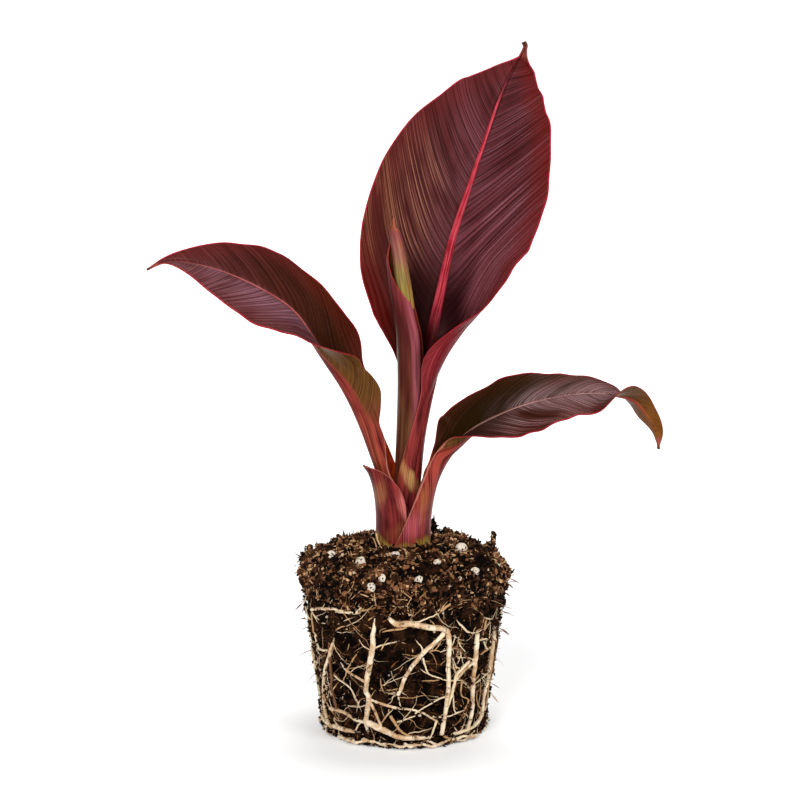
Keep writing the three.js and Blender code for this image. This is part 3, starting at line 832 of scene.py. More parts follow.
right_detail = {
    "blade": 4.2, "tip": 0.4, "groove": 0.35, "pleat": SIDE_PLEAT,
    "relief": 0.1, "wave": 4.2, "ripple": 0.45,
    "keel": [6, 6, 5, 4.2, 3.4, 2.8, 2.4, 2, 1.7, 1.4, 1.1, 0.8, 0.6, 0.5],
    "nicks": [
        (-1, 0.47, -3.0, 6.0), (-1, 0.58, 1.6, 3.0), (-1, 0.73, -8.0, 7.0), (1, 0.73, -1.5, 4.0),
        (1, 0.03, -2.8, 3.5), (1, -0.08, 1.5, 4.0),
    ],
    "finishes": [right_upper, side_lower],
}
right_leaf = leaf("right_leaf", RIGHT_LEAF, 300, 40, right_detail)
settle(right_leaf, "leaf", "right_stalk", "right_blade", "right_tip")

# %% [markdown]
# ## The old sheath
#
# The outermost, oldest sheath has lost its blade. Only a short scale with a bent point is left at
# the front left of the stem. The leaf's law makes it too, with five stations and no relief.

# %% Old sheath
SCALE_SHEATH = [
    sheath(10.4, 9.8, 198, STEM_FOOT, [70, 76], [2.2, 0.5]),
    sheath(10.6, 10, 198, 96, [80, 72], [2.0, 0.5]),
    station([-11.7, -3.5, 106], 196, 0, [13.4, 9.4], [75, 58], [0, 0], [1.6, 0.5]),
    station([-14.4, -4.3, 113.5], 194, 0, [7.6, 4.5], [68, 50], [0, 0], [1.1, 0.5]),
    station([-17.3, -5, 117.5], 192, 0, [0, 0], [30, 30], [0, 0], [0.7, 0.5]),
]
scale_lower = lower_face(
    "old_sheath_outside",
    wing=(paint(84, 24, 24), paint(116, 44, 40)), stem=(paint(52, 10, 11), paint(128, 44, 42)),
    spots=[
        (paint(150, 104, 62), 0.75, (-10.6, 106), (2.6, 8), 0.0),
        # A painted pink highlight near the right margin.
        (paint(196, 108, 102), 0.85, (0.2, 101), (3, 8), -0.3),
        (paint(126, 76, 40), 0.5, (-4, 88), (4, 5), 0.5),
    ],
    foot=(-2.2, 0.65), margin=paint(186, 112, 96), tip=(paint(110, 40, 34), paint(150, 70, 50)),
)
scale_detail = {
    "blade": 3.9, "tip": 0.4, "groove": 0.1, "pleat": SIDE_PLEAT,
    "relief": 0.0, "wave": 4.2, "ripple": 0.0,
    "keel": [5, 5, 4, 2.5, 1], "nicks": [], "finishes": [left_upper, scale_lower],
}
old_sheath = leaf("old_sheath", SCALE_SHEATH, 90, 40, scale_detail)
settle(old_sheath, "old_sheath", "scale_sheath")

# %% [markdown]
# ## The rolled new leaf
#
# The newest leaf comes out of the middle of the stem rolled up like a scroll. The outer turn ends in
# a slanting red margin, and the paler inner turns look out above it and end in a dry brown point.
# Each turn is a grid wound round the roll's line, a little tighter at its inner edge than at its
# free outer one, so that the seam of a real roll shows.

# %% Lines of the roll
WRAP = [
    (0, 0, STEM_FOOT, 4.8), (0.1, -0.2, 105, 4.9), (1.7, -0.4, 130, 5.6), (2.6, -0.1, 152.5, 6.0),
    (2.0, -0.1, 171, 5.8), (0.4, -0.6, 181, 5.3), (-1.3, -0.7, 190, 5.0), (-3.0, -0.8, 200, 4.5),
    (-3.8, -0.8, 207, 4.2), (-3.4, -0.8, 213.5, 3.1),
]
WRAP_RIM = [
    (12, 195), (60, 202), (110, 208), (150, 213), (180, 213), (205, 208), (230, 200.5), (250, 196.8),
    (270, 193.8), (290, 191.2), (309, 189.2), (340, 187), (360, 186), (426, 182),
]
SPEAR_TIP = [
    (1.6, -0.3, 168, 3.4), (1.0, -0.5, 178, 3.6), (0.0, -0.7, 190, 3.8), (-1.4, -0.8, 201.5, 3.4),
    (-2.3, -0.8, 208, 3.1), (-3.4, -0.8, 214.5, 2.95), (-4.0, -0.8, 217.6, 2.55), (-4.3, -0.7, 219.3, 1.7),
    (-4.5, -0.6, 220.4, 0.6), (-4.6, -0.6, 224, 0.4),
]
ROLL_WALL = 0.45


def wrap_rim(bearing):
    """Height of the outer turn's free edge."""
    return np.interp(np.degrees(bearing), *np.array(WRAP_RIM, float).T)


def tip_rim(bearing):
    """The inner turns all end at the dry point."""
    return np.full(len(bearing), float(SPEAR_TIP[-1][2]))


def scroll(name, line, rim, seam, twist, turns, tuck, grid, finishes):
    """A sheet wound round a line. tuck is how much tighter its inner edge is than its outer one."""
    piece, flat = new_grid(name, *grid)
    rise, wound = (flat[:, 0] + 1) / 2, (flat[:, 1] + 1) / 2
    bearing = np.radians(seam + twist * rise) + 2 * math.pi * turns * (1 - wound)
    top = np.interp(rim(bearing), np.array(line)[:, 2], np.arange(len(line)))
    now = along(line, top * rise)
    radius = now[:, 3] * (1 - tuck * (1 - wound))
    put(piece, now[:, :3] + round_about(radius, bearing, 0 * bearing))
    note(piece, "below_rim", along(line, top)[:, 2] - now[:, 2])
    note(piece, "around", bearing)
    note(piece, "seam", (1 - wound) * turns * 2 * math.pi * now[:, 3])
    for finish in finishes:
        piece.data.materials.append(finish)
    thicken(piece, np.ones(len(rise)), ROLL_WALL)
    return piece


print("roll from", WRAP[0][2], "to", SPEAR_TIP[-1][2], "mm")

# %% [markdown]
# ## Finish of the roll
#
# Long streaks run up the roll. Its colours change with the distance below the rim: red at the margin,
# darker and browner further down, and yellow-green on the inner tip. One side has painted shade, and
# the other a narrow painted pink sheen.

# %% Roll finish
ROLL_SHADE, ROLL_SHEEN = paint(34, 10, 8), paint(176, 92, 104)
SHADE_SIDE, SHEEN_SIDE = 2.2, 3.8


def roll_finish(name, tones, margin, shade, shine):
    """tones: distances below the rim, each with two tones. shade and shine: shares on its two sides."""
    material, start, shader = finish_named(name)
    below, around, seam = [kept(start, n) for n in ("below_rim", "around", "seam")]
    z, mottle = in_mm(start, 2), noise(start, *MOTTLE)
    drawn = streaks(start, around * 2.6, z * 0.03)
    hair = streaks(start, around * 14.0, z * 0.02)
    mixed = (drawn * 0.6 + hair * 0.4).ease(0.34, 0.66)
    colour = mixed.blend(*tones[0][1])
    for (near, _), (far, pair) in zip(tones, tones[1:]):
        colour = (below + drawn * 8 - 4).ease(near, far).blend(colour, mixed.blend(*pair))
    colour = ((below + mottle * 0.3).ease(0.85, 0.5) * 0.9).blend(colour, margin)
    colour = (seam.ease(0.6, 0.3) * 0.6).blend(colour, margin)
    # Painted shade on one side of the roll and a painted pink sheen on the other.
    colour = ((around - SHADE_SIDE).sine().ease(0.2, 1.0) * shade).blend(colour, ROLL_SHADE)
    sheen = (around - SHEEN_SIDE).sine().ease(0.8, 1.0) * (drawn.ease(0.3, 0.55) * 0.6 + 0.4)
    colour = (sheen * below.ease(75, 25) * shine).blend(colour, ROLL_SHEEN)
    attach(colour, shader, "Base Color")
    gloss(start, shader, 0.42 - 0.12 * drawn, 0.3, 0.0005, drawn * 0.5 + hair * 0.5)
    return material


wrap_paint = roll_finish("rolled_leaf_outside", [
    (0, (paint(88, 25, 28), paint(128, 54, 56))), (17, (paint(58, 17, 18), paint(96, 36, 36))),
    (34, (paint(54, 21, 14), paint(92, 42, 32))), (48, (paint(46, 16, 8), paint(86, 38, 25))),
    (62, (paint(62, 35, 18), paint(100, 60, 36))), (100, (paint(72, 32, 22), paint(108, 58, 42))),
], paint(164, 30, 42), 0.3, 0.6)
inside_paint = roll_finish("rolled_leaf_inside", [
    (0, (paint(96, 44, 24), paint(120, 60, 30))), (30, (paint(60, 24, 18), paint(84, 36, 26))),
], paint(170, 60, 44), 0.3, 0.0)
tip_paint = roll_finish("rolled_leaf_tip", [
    (4, (paint(140, 66, 44), paint(170, 90, 62))), (6, (paint(100, 42, 46), paint(130, 66, 66))),
    (15, (paint(112, 62, 54), paint(146, 98, 82))), (24, (paint(104, 86, 42), paint(142, 120, 72))),
    (36, (paint(128, 114, 48), paint(166, 146, 78))),
], paint(150, 82, 58), 0.2, 0.0)
print("roll finishes:", wrap_paint.name, inside_paint.name, tip_paint.name)

# %% Outer turn and inner tip
spear_wrap = scroll(
    "rolled_leaf", WRAP, wrap_rim, seam=12, twist=0, turns=1.15, tuck=0.16, grid=(170, 90),
    finishes=[wrap_paint, inside_paint],
)
settle(spear_wrap, "rolled_leaf", "spear_wrap")
spear_tip = scroll(
    "rolled_leaf_tip", SPEAR_TIP, tip_rim, seam=-32, twist=-40, turns=1.5, tuck=0.26, grid=(110, 72),
    finishes=[tip_paint, tip_paint],
)
settle(spear_tip, "rolled_leaf", "spear_tip")

# %% [markdown]
# ## The root ball
#
# The peat keeps the shape of the pot: a tapered plug with a flat foot and a full round mound. By
# hand it is a circle that is extruded ring by ring and resized to the outline. Displace modifiers
# with cloud textures then break the surface into lumps and crumbs, and are applied. At last the
# mound is let down a little behind the stem, where the real one has sunk.

# %% Outline of the ball
FOOT_EDGE = 34.9
BALL_RIM = 44.5
RIM_HEIGHT = 69
MOUND_ROUND = 14
MOUND_TOP = 81.7
OUTLINE = [(FOOT_EDGE - 0.4, 0), (FOOT_EDGE, 1.2)]
for a in np.linspace(0, math.pi / 2, 9):
    inwards = MOUND_ROUND * (1 - math.cos(a))
    OUTLINE.append((BALL_RIM - inwards, RIM_HEIGHT + (MOUND_TOP - RIM_HEIGHT) * math.sin(a)))
OUTLINE = np.array(OUTLINE + [(2, MOUND_TOP)], float)
OUTLINE_RUNS = runs_along(OUTLINE)
SIDE_RUN, TOP_RUN = float(OUTLINE_RUNS[2]), float(OUTLINE_RUNS[-1])


def outline_at(run):
    """Radius, height and way of the bare outline at runs along it in millimetres."""
    steps = np.diff(OUTLINE, axis=0)
    i = np.clip(np.searchsorted(OUTLINE_RUNS, run, "right") - 1, 0, len(steps) - 1)
    radius, height = [np.interp(run, OUTLINE_RUNS, OUTLINE[:, k]) for k in (0, 1)]
    return radius, height, unit(steps[i])


def slump(x, y):
    """How far the mound has sunk behind the stem."""
    return 3.6 * smooth(np.hypot(x, y), 14, 30) * smooth(y, -14, 10)


def above_rim(height, low=-4, high=4):
    """0 on the side of the ball, 1 on its mound."""
    return smooth(height, RIM_HEIGHT + low, RIM_HEIGHT + high)


print("side", round(SIDE_RUN, 1), "mm, to the middle", round(TOP_RUN, 1), "mm")

# %% Peat plug
PEAT_STEP = 0.95
PEAT_SIDES = 260
PEAT_RELIEF = [
    ("lumps", "CLOUDS", 0.0075, 3.6, 0.58),
    ("crumbs", "CLOUDS", 0.0026, 2.4, 0.56),
    ("grit", "VORONOI", 0.0016, 0.9, 0.5),
]
rings = np.stack(outline_at(np.linspace(0, TOP_RUN, int(TOP_RUN / PEAT_STEP)))[:2], 1)
bpy.ops.object.select_all(action="DESELECT")
bpy.ops.mesh.primitive_circle_add(vertices=PEAT_SIDES, radius=rings[0, 0] * MM, fill_type="NGON")
peat = bpy.context.object
peat.name = peat.data.name = "root_ball_peat"
bpy.ops.object.mode_set(mode="EDIT")
bpy.ops.mesh.select_all(action="SELECT")
for (was, floor_height), (radius, height) in zip(rings[:-1], rings[1:]):
    lift = {"value": (0, 0, (height - floor_height) * MM)}
    bpy.ops.mesh.extrude_region_move(TRANSFORM_OT_translate=lift)
    bpy.ops.transform.resize(value=(radius / was, radius / was, 1), center_override=(0, 0, height * MM))
bpy.ops.mesh.select_all(action="SELECT")
bpy.ops.mesh.normals_make_consistent(inside=False)
bpy.ops.object.mode_set(mode="OBJECT")
for name, kind, grain_size, strength, middle in PEAT_RELIEF:
    texture = bpy.data.textures.new(name, kind)
    texture.noise_scale = grain_size
    displace = peat.modifiers.new(name, "DISPLACE")
    displace.texture = texture
    displace.strength = strength * MM
    displace.mid_level = middle
    displace.texture_coords = "LOCAL"
    bpy.ops.object.modifier_apply(modifier=name)
ground = np.zeros(len(peat.data.vertices) * 3, np.float32)
peat.data.vertices.foreach_get("co", ground)
ground = ground.reshape(-1, 3) / MM
sunk = slump(ground[:, 0], ground[:, 1]) * above_rim(ground[:, 2], high=6)
ground[:, 2] = np.maximum(ground[:, 2] - sunk, 0)
put(peat, ground)
print("peat plug", len(peat.data.polygons), "faces")

# %% [markdown]
# ## Peat finish
#
# Moist peat is nearly black, with brown patches and tan flecks of fibre. Two noises of different size
# give both, and the same noises roughen the surface, so that colour and relief agree.

# %% Peat finish
peat_paint, start, shader = finish_named("moist_peat")
fleck = noise(start, 900.0, 4.0, 0.7)
cloud = noise(start, 140.0, 4.0, 0.6)
colour = cloud.ease(0.42, 0.66).blend(paint(5, 3, 2), paint(50, 28, 15))
colour = (fleck.ease(0.6, 0.74) * 0.8).blend(colour, paint(112, 70, 38))
attach(colour, shader, "Base Color")
attach(0.95 - 0.3 * fleck, shader, "Roughness")
relief(start, shader, 0.8, 0.001, fleck + cloud)
fixed(shader, {"Specular IOR Level": 0.03})
peat.data.materials.append(peat_paint)
settle(peat, "peat", "root_ball")

# %% [markdown]
# ## Crumbs, fibres and perlite
#
# Loose crumbs and shreds lie all over the mound, heap up into clods at the rim and fill out the
# foot, with tan fibres and white grains of perlite between them. One small rough ball is modelled
# and copied thousands of times. Each colour is one joined mesh, because so many separate objects
# would only slow the scene down.

# %% Places on the ball
chance = np.random.RandomState(7)


def on_ball(low, high, count, bearings=(-180, 180)):
    """Random points of the bare ball between two runs, evenly spread, and their outward ways."""
    fine = np.linspace(low, high, 500)
    share = np.cumsum(outline_at(fine)[0])
    a = np.radians(chance.uniform(*bearings, count))
    radius, height, way = outline_at(np.interp(chance.uniform(0, share[-1], count), share, fine))
    return round_about(radius, a, height), round_about(way[:, 1], a, -way[:, 0])


def lumps(x, y):
    """Soft lumps and hollows of the loose peat."""
    return 1.7 * np.sin(x / 3.5 + 1.7 * np.sin(y / 4.3)) * np.sin(y / 3.9 + 1.3 * np.sin(x / 5.1))


def heaped(x, y):
    """How far the loose peat lies above the outline in its lumps, or below it in its hollows."""
    return lumps(x, y) - 0.8 - slump(x, y)


def mound_height(x, y):
    """Height of the loose mound."""
    radii, heights = OUTLINE[:1:-1].T
    return np.interp(np.hypot(x, y), radii, heights) + heaped(x, y)


print("mound", np.round(mound_height(np.array([0, 30]), np.array([-30, 0])), 1), "mm high at two places")

# %% [markdown]
# ## Many small things in one mesh
#
# A ball primitive lends its points and faces, and copies of them go into one mesh by numbers. Each
# colour has a plain finish with a fine rough grain, which is all that shows at this size.


# %% Scatter helpers
def joined(name, points, faces, finish, slot, *nodes, soft=True, runs=None):
    """One mesh from arrays, in millimetres. Nothing reaches below the ground."""
    points = np.array(points, float)
    points[:, 2] = np.maximum(points[:, 2], 0)
    mesh = bpy.data.meshes.new(name)
    mesh.from_pydata((points * MM).tolist(), [], faces)
    mesh.materials.append(finish)
    piece = bpy.data.objects.new(name, mesh)
    bpy.context.scene.collection.objects.link(piece)
    if runs is not None:
        note(piece, "run", runs)
    settle(piece, slot, *nodes, soft=soft)


def plain(name, colour, roughness, shine=0.1):
    """A plain finish with a fine rough grain, for joined small things."""
    material, start, shader = finish_named(name)
    relief(start, shader, 0.6, 0.0005, noise(start, 1400.0, 2.0))
    fixed(shader, {"Base Color": colour, "Roughness": roughness, "Specular IOR Level": shine})
    return material


def spun(count):
    """Random turns, as matrices."""
    w, x, y, z = unit(chance.normal(size=(count, 4))).T
    return np.stack([
        np.stack([1 - 2 * (y * y + z * z), 2 * (x * y - w * z), 2 * (x * z + w * y)], 1),
        np.stack([2 * (x * y + w * z), 1 - 2 * (x * x + z * z), 2 * (y * z - w * x)], 1),
        np.stack([2 * (x * z - w * y), 2 * (y * z + w * x), 1 - 2 * (x * x + y * y)], 1),
    ], 1)


def ball_shape(fineness):
    """Points and faces of a ball primitive of radius 1. The primitive itself is removed again."""
    bpy.ops.object.select_all(action="DESELECT")
    bpy.ops.mesh.primitive_ico_sphere_add(subdivisions=fineness, radius=1)
    ball = bpy.context.object
    points = np.array([v.co for v in ball.data.vertices])
    faces = np.array([list(f.vertices) for f in ball.data.polygons])
    bpy.ops.object.delete()
    return points, faces


def repeated(faces, points_each, count):
    """Faces of one shape, numbered on for every copy of it."""
    return (faces[None] + points_each * np.arange(count)[:, None, None]).reshape(-1, faces.shape[1]).tolist()


crumb_points, crumb_faces = ball_shape(1)


def rough_balls(count, roughness):
    """Copies of the small ball, each dented in its own way."""
    return crumb_points * (1 + roughness * chance.normal(size=(count, len(crumb_points), 1)))


def strewn(name, colour, bodies, sizes, centres):
    """Crumbs of one colour, each turned at random."""
    turned_bodies = np.einsum("nij,nkj->nki", spun(len(sizes)), bodies)
    points = turned_bodies * sizes[:, None, None] + centres[:, None]
    faces = repeated(crumb_faces, len(crumb_points), len(sizes))
    joined(name, points.reshape(-1, 3), faces, plain(name, colour, 0.85, 0.06), "peat", soft=False)


print("one crumb:", len(crumb_faces), "faces")

# %% [markdown]
# ## Crumbs
#
# Real potting peat is a mix of black dust, brown lumps and tan shreds. Crumbs on the lumps of the
# mound are more often light and those in its hollows dark, as painted light and shade, so a crumb's
# colour depends on where it lies. Clods are little heaps of crumbs. The larger ones along the rim stand
# where they are seen, and the others lie at random.

# %% Crumbs: colours and clods
CRUMB_COLOURS = {
    "crumbs_black": paint(9, 5, 3), "crumbs_dark": paint(60, 36, 21), "crumbs_brown": paint(122, 82, 54),
    "crumbs_tan": paint(200, 158, 116),
}
CRUMB_SIZES = (1.05, 1.1, 0.95, 0.7)
MOUND_MIX = (0.33, 0.27, 0.25, 0.15)
SIDE_MIX = (0.62, 0.27, 0.07, 0.04)
PAINTED_LIGHT_ON_LUMPS = 0.17
SHRED_SHARE = 0.3
SHRED, LUMP = [[[2.6, 0.55, 0.4]]], [[[1.0, 1.0, 1.0]]]
STEM_RING = 170
CLODS = [
    (-44.5, -2, 3.5, 1.6), (-43.6, 4, 6.5, 1.8), (-41.5, 8, 5, 1.8), (-42.5, 0, 3.5, 1.6),
    (-45, -7, 2.5, 1.4), (-31, 20.5, 2.4, 1.8), (-25.5, 26, 2.2, 2.2), (-28.5, 23, 2, 1.8),
    (13, 32.5, 6.5, 1.4), (13.8, 31, 3, 1.6), (18.5, 30, 2.6, 2), (26, 24, 2.2, 1.8),
    (36.5, 15, 1.8, 1.4), (39, 11, 9, 0.5), (38.7, 11.5, 3, 1.2), (45, -4, 2.4, 1.6),
    (44.6, 3, 2.2, 1.5), (43, -13, 2, 1.5), (-6, 37, 1.8, 1.8), (6, 38, 1.8, 1.8), (-14, 36, 1.8, 1.8),
    (-40, -20, 1.8, 1.5), (-34, -29, 1.8, 1.5), (33, -30, 1.8, 1.5),
]
CRUMB_LAYERS = [
    (SIDE_RUN + 2, TOP_RUN - 11, 5600, 0.3, 1.3, 0.2, MOUND_MIX),
    (SIDE_RUN - 7, SIDE_RUN + 8, 2600, 0.3, 1.3, 0.2, MOUND_MIX),
    (1, SIDE_RUN - 4, 3800, 0.25, 0.9, -0.6, SIDE_MIX), (0.2, 5, 800, 0.3, 1.0, 0.1, SIDE_MIX),
    (3, SIDE_RUN, 700, 0.3, 0.8, 0.9, SIDE_MIX), (0.3, 1.6, 600, 0.3, 1.0, 1.6, SIDE_MIX),
]
print(len(CLODS), "clods in places,", sum(layer[2] for layer in CRUMB_LAYERS), "loose crumbs")


# %% Crumbs
def crumb_groups():
    """Centres, sizes and colour mix of crumbs: in layers on the ball, round the stem, then in clods."""
    groups = []
    for low, high, count, small, large, out_by, mix in CRUMB_LAYERS:
        point, way = on_ball(low, high, count)
        size = small + (large - small) * chance.uniform(0, 1, count) ** 2.4
        point = point + way * (out_by + 0.4 * chance.normal(size=count))[:, None]
        point[:, 2] += heaped(*point[:, :2].T) * above_rim(point[:, 2])
        groups.append((point, size, mix))
    a, reach = chance.uniform(-math.pi, math.pi, STEM_RING), chance.uniform(11, 15.5, STEM_RING)
    ring = round_about(reach, a, chance.uniform(81.4, 83, STEM_RING))
    groups.append((ring, chance.uniform(0.4, 1.2, STEM_RING), MOUND_MIX))
    clods = list(CLODS)
    anywhere = [on_ball(SIDE_RUN + 2, TOP_RUN - 15, 90)[0], on_ball(SIDE_RUN, SIDE_RUN + 14, 70)[0]]
    for x, y, _ in np.vstack(anywhere):
        clods.append((x, y, chance.uniform(0.6, 2.2), chance.uniform(0.6, 1.6)))
    for x, y, rise, spread in clods:
        count = int(8 + 9 * rise * spread)
        up = chance.uniform(0, 1, count)
        about = chance.normal(size=(count, 2)) * spread * (0.75 - 0.4 * up)[:, None] + [x, y]
        height = mound_height(x, y) + rise * up
        groups.append((np.column_stack([about, height]), chance.uniform(0.3, 1.0, count), MOUND_MIX))
    return groups


def crumb_kind(point, mix):
    """Which of the colours each crumb has."""
    # Painted light and shade: crumbs on the lumps are lighter, those in the hollows darker.
    painted_light = PAINTED_LIGHT_ON_LUMPS * lumps(*point[:, :2].T) * (mix is MOUND_MIX)
    share = np.clip(chance.uniform(0, 1, len(point)) + painted_light, 0, 0.999)
    return np.searchsorted(np.cumsum(mix)[:-1], share)


groups = crumb_groups()
crumb_kinds = np.concatenate([crumb_kind(point, mix) for point, _, mix in groups])
crumb_centres = np.vstack([point for point, _, _ in groups])
crumb_sizes = np.concatenate([size for _, size, _ in groups])
for k, (name, colour) in enumerate(CRUMB_COLOURS.items()):
    chosen = crumb_kinds == k
    n = int(chosen.sum())
    bodies = rough_balls(n, 0.2)
    bodies = bodies * (1 + 0.4 * chance.uniform(-1, 1, (n, 1, 3)))
    bodies = bodies * np.where(chance.uniform(size=(n, 1, 1)) < SHRED_SHARE, SHRED, LUMP)
    strewn(name, colour, bodies, crumb_sizes[chosen] * CRUMB_SIZES[k], crumb_centres[chosen])

# %% [markdown]
# ## Tubes along paths
#
# Fibres and roots are round strands. By hand each would be a curve with a bevel, made a mesh. For
# hundreds of them, rings of points along each path give the same tubes in one mesh. The run along
# each strand is kept on the mesh, for the rings and scars of the root skin.

# %% Tubes along paths
TINY = 1e-9


def tubes(paths, radii, sides):
    """Points, faces and runs of round tubes, each along its path, with a radius for each of its points."""
    all_points, all_faces, all_runs, base = [], [], [], 0
    ring = np.linspace(0, 2 * math.pi, sides, endpoint=False)
    for path, radius in zip(paths, radii):
        ahead = np.gradient(path, axis=0)
        ahead /= np.linalg.norm(ahead, axis=1, keepdims=True) + TINY
        out = path * [1, 1, 0.2] + [0, 0, 1e-3]
        first = np.cross(ahead, out)
        first /= np.linalg.norm(first, axis=1, keepdims=True) + TINY
        second = np.cross(ahead, first)
        n = len(path)
        wall = path[:, None] + (
            first[:, None] * np.cos(ring)[None, :, None] + second[:, None] * np.sin(ring)[None, :, None]
        ) * radius[:, None, None]
        i, k = np.meshgrid(np.arange(n - 1), np.arange(sides), indexing="ij")
        nxt = (k + 1) % sides
        quads = np.stack([i * sides + k, i * sides + nxt, (i + 1) * sides + nxt, (i + 1) * sides + k], -1)
        all_points.append(wall.reshape(-1, 3))
        all_faces += (quads.reshape(-1, 4) + base).tolist()
        all_faces.append((base + np.arange(sides)[::-1]).tolist())
        all_faces.append((base + (n - 1) * sides + np.arange(sides)).tolist())
        all_runs.append(np.repeat(runs_along(path), sides))
        base += n * sides
    return np.vstack(all_points), all_faces, np.concatenate(all_runs)


def tube_piece(name, strands, sides, finish, slot, *nodes):
    """One piece from strands, each a path and its radii."""
    points, faces, runs = tubes([path for path, _ in strands], [radius for _, radius in strands], sides)
    joined(name, points, faces, finish, slot, *nodes, runs=runs)


print("tube builder ready")

# %% [markdown]
# ## Fibres
#
# Shreds of old root and bark lie flat on the peat, and fine hairs stand out of the side, some with a
# grain of peat at the end. Two dry scraps hang at the foot of the stem.

# %% Fibre strands
LYING_TAPER = np.array([0.5, 1, 1, 1, 0.9, 0.4])
HAIR_TAPER = np.array([1, 1, 0.9, 0.7, 0.3])
HAIR_LENGTH = (1.5, 4.5)
HAIR_DROOP = 0.35
END_GRAINS = [1, 1, 3.5]


def lying(low, high, count, short, long, lift):
    """Short bent strands that lie on the ball."""
    strands = []
    steps = np.linspace(-0.5, 0.5, len(LYING_TAPER))[:, None]
    for centre, out in zip(*on_ball(low, high, count)):
        ahead = unit(np.cross(out, chance.normal(size=3)))
        bend = np.cross(out, ahead) * chance.uniform(-0.4, 0.4) + out * chance.uniform(-0.15, 0.35)
        size = chance.uniform(short, long)
        path = centre + out * lift + ahead * steps * size - bend * (0.25 - steps**2) * size * 1.2
        path[:, 2] += heaped(*centre[:2]) * above_rim(centre[2])
        strands.append((path, chance.uniform(0.08, 0.2) * LYING_TAPER))
    return strands


def sticking_out(count):
    """Hairs that stand out of the side and droop. Some carry a grain of peat at the end."""
    strands = []
    steps = np.linspace(-0.3, 1, len(HAIR_TAPER))[:, None]
    for centre, out in zip(*on_ball(3, SIDE_RUN + 4, count)):
        ahead = out + chance.normal(size=3) * 0.6
        size = chance.uniform(*HAIR_LENGTH)
        path = centre + ahead * steps * size - [0, 0, HAIR_DROOP * size] * np.maximum(steps, 0) ** 2
        hair = chance.uniform(0.08, 0.18) * HAIR_TAPER
        strands.append((path, np.where(steps[:, 0] > 0.6, chance.choice(END_GRAINS), 1) * hair))
    return strands


print("fibre strands ready")

# %% Fibres
STEM_SCRAPS = [
    (0.45, [(-12.2, -7.5, 87.5), (-11.6, -8.4, 85), (-10.4, -9.4, 82.6), (-9.6, -10.4, 81.2)]),
    (0.3, [(-13.4, -6.2, 85), (-12.6, -7.6, 83.4), (-12, -9.4, 81.8)]),
]
scraps = [
    (along(path, np.linspace(0, len(path) - 1, 9)), np.full(9, radius)) for radius, path in STEM_SCRAPS
]
for name, colour, top, side, hairs, more in (
    ("fibres_tan", paint(206, 166, 120), 420, 130, 60, scraps),
    ("fibres_rust", paint(112, 68, 36), 420, 200, 160, []),
):
    strands = lying(SIDE_RUN - 6, TOP_RUN - 12, top, short=2.0, long=6.0, lift=0.6)
    strands += lying(2, SIDE_RUN, side, short=1.5, long=5.0, lift=0.2) + sticking_out(hairs) + more
    tube_piece(name, strands, 4, plain(name, colour, 0.7), "peat")

# %% [markdown]
# ## Perlite
#
# Perlite is a white volcanic glass that is puffed up by heat, so its grains are broken foam. Each one
# is a ball with a few flat breaks and round pits on its open side. A dark lens lies in every pit, for
# painted shade in the pit and the peat dust in it. The grains that show on the mound have their
# places, and smaller ones lie at random.

# %% Perlite grains
PERLITE = [
    (-31.5, -15.5, 2.2), (-18.5, -29.5, 2.4), (-4, -26.5, 2.2), (-9.5, -40, 1.9), (-14, -41.5, 2.1),
    (6, -41, 1.9), (24.5, -15.5, 2.5), (30, -27.5, 2.2), (14, -30.5, 1.7), (5, -31.5, 0.8),
    (7, -35.5, 0.8), (10.5, -35, 0.9), (23.5, -34.5, 1), (19, -38.5, 1), (34.5, -7, 1.2),
    (35.5, -21.5, 0.8), (40.5, -14, 1.2), (-43, 3, 1.2), (-23, 0, 1.2), (-27, -4, 1), (-30, -1.5, 1),
    (-9.5, -14.5, 1), (-26.5, -20.5, 0.8), (2, -29, 0.7), (13, -39.5, 0.7), (-21.5, -35.5, 0.6),
    (-27, -32, 0.6), (21.5, -27, 0.9), (16.5, -28, 0.9),
]


BREAKS = 6


def grain(points, pits, facing):
    """A broken white grain: a ball with flat breaks and round pits, and where the pits lie."""
    shape, holes = points.copy(), []
    for depth in chance.uniform(0.6, 0.9, BREAKS):
        pole = unit(chance.normal(size=3))
        over = np.maximum(shape @ pole - depth, 0)
        shape = shape - over[:, None] * pole * 0.9
    for width in chance.uniform(0.18, 0.36, pits):
        pole = unit(chance.normal(size=3) + facing)
        near = np.arccos(np.clip(points @ pole, -1, 1)) / width
        shape = shape * (1 - chance.uniform(0.15, 0.4) * np.clip(1 - near**2, 0, 1))[:, None]
        holes.append((np.argmax(points @ pole), width))
    shape = shape * (1 + 0.02 * chance.normal(size=(len(shape), 1)))
    return shape, [(shape[i], width) for i, width in holes]


print(len(PERLITE), "grains in places")

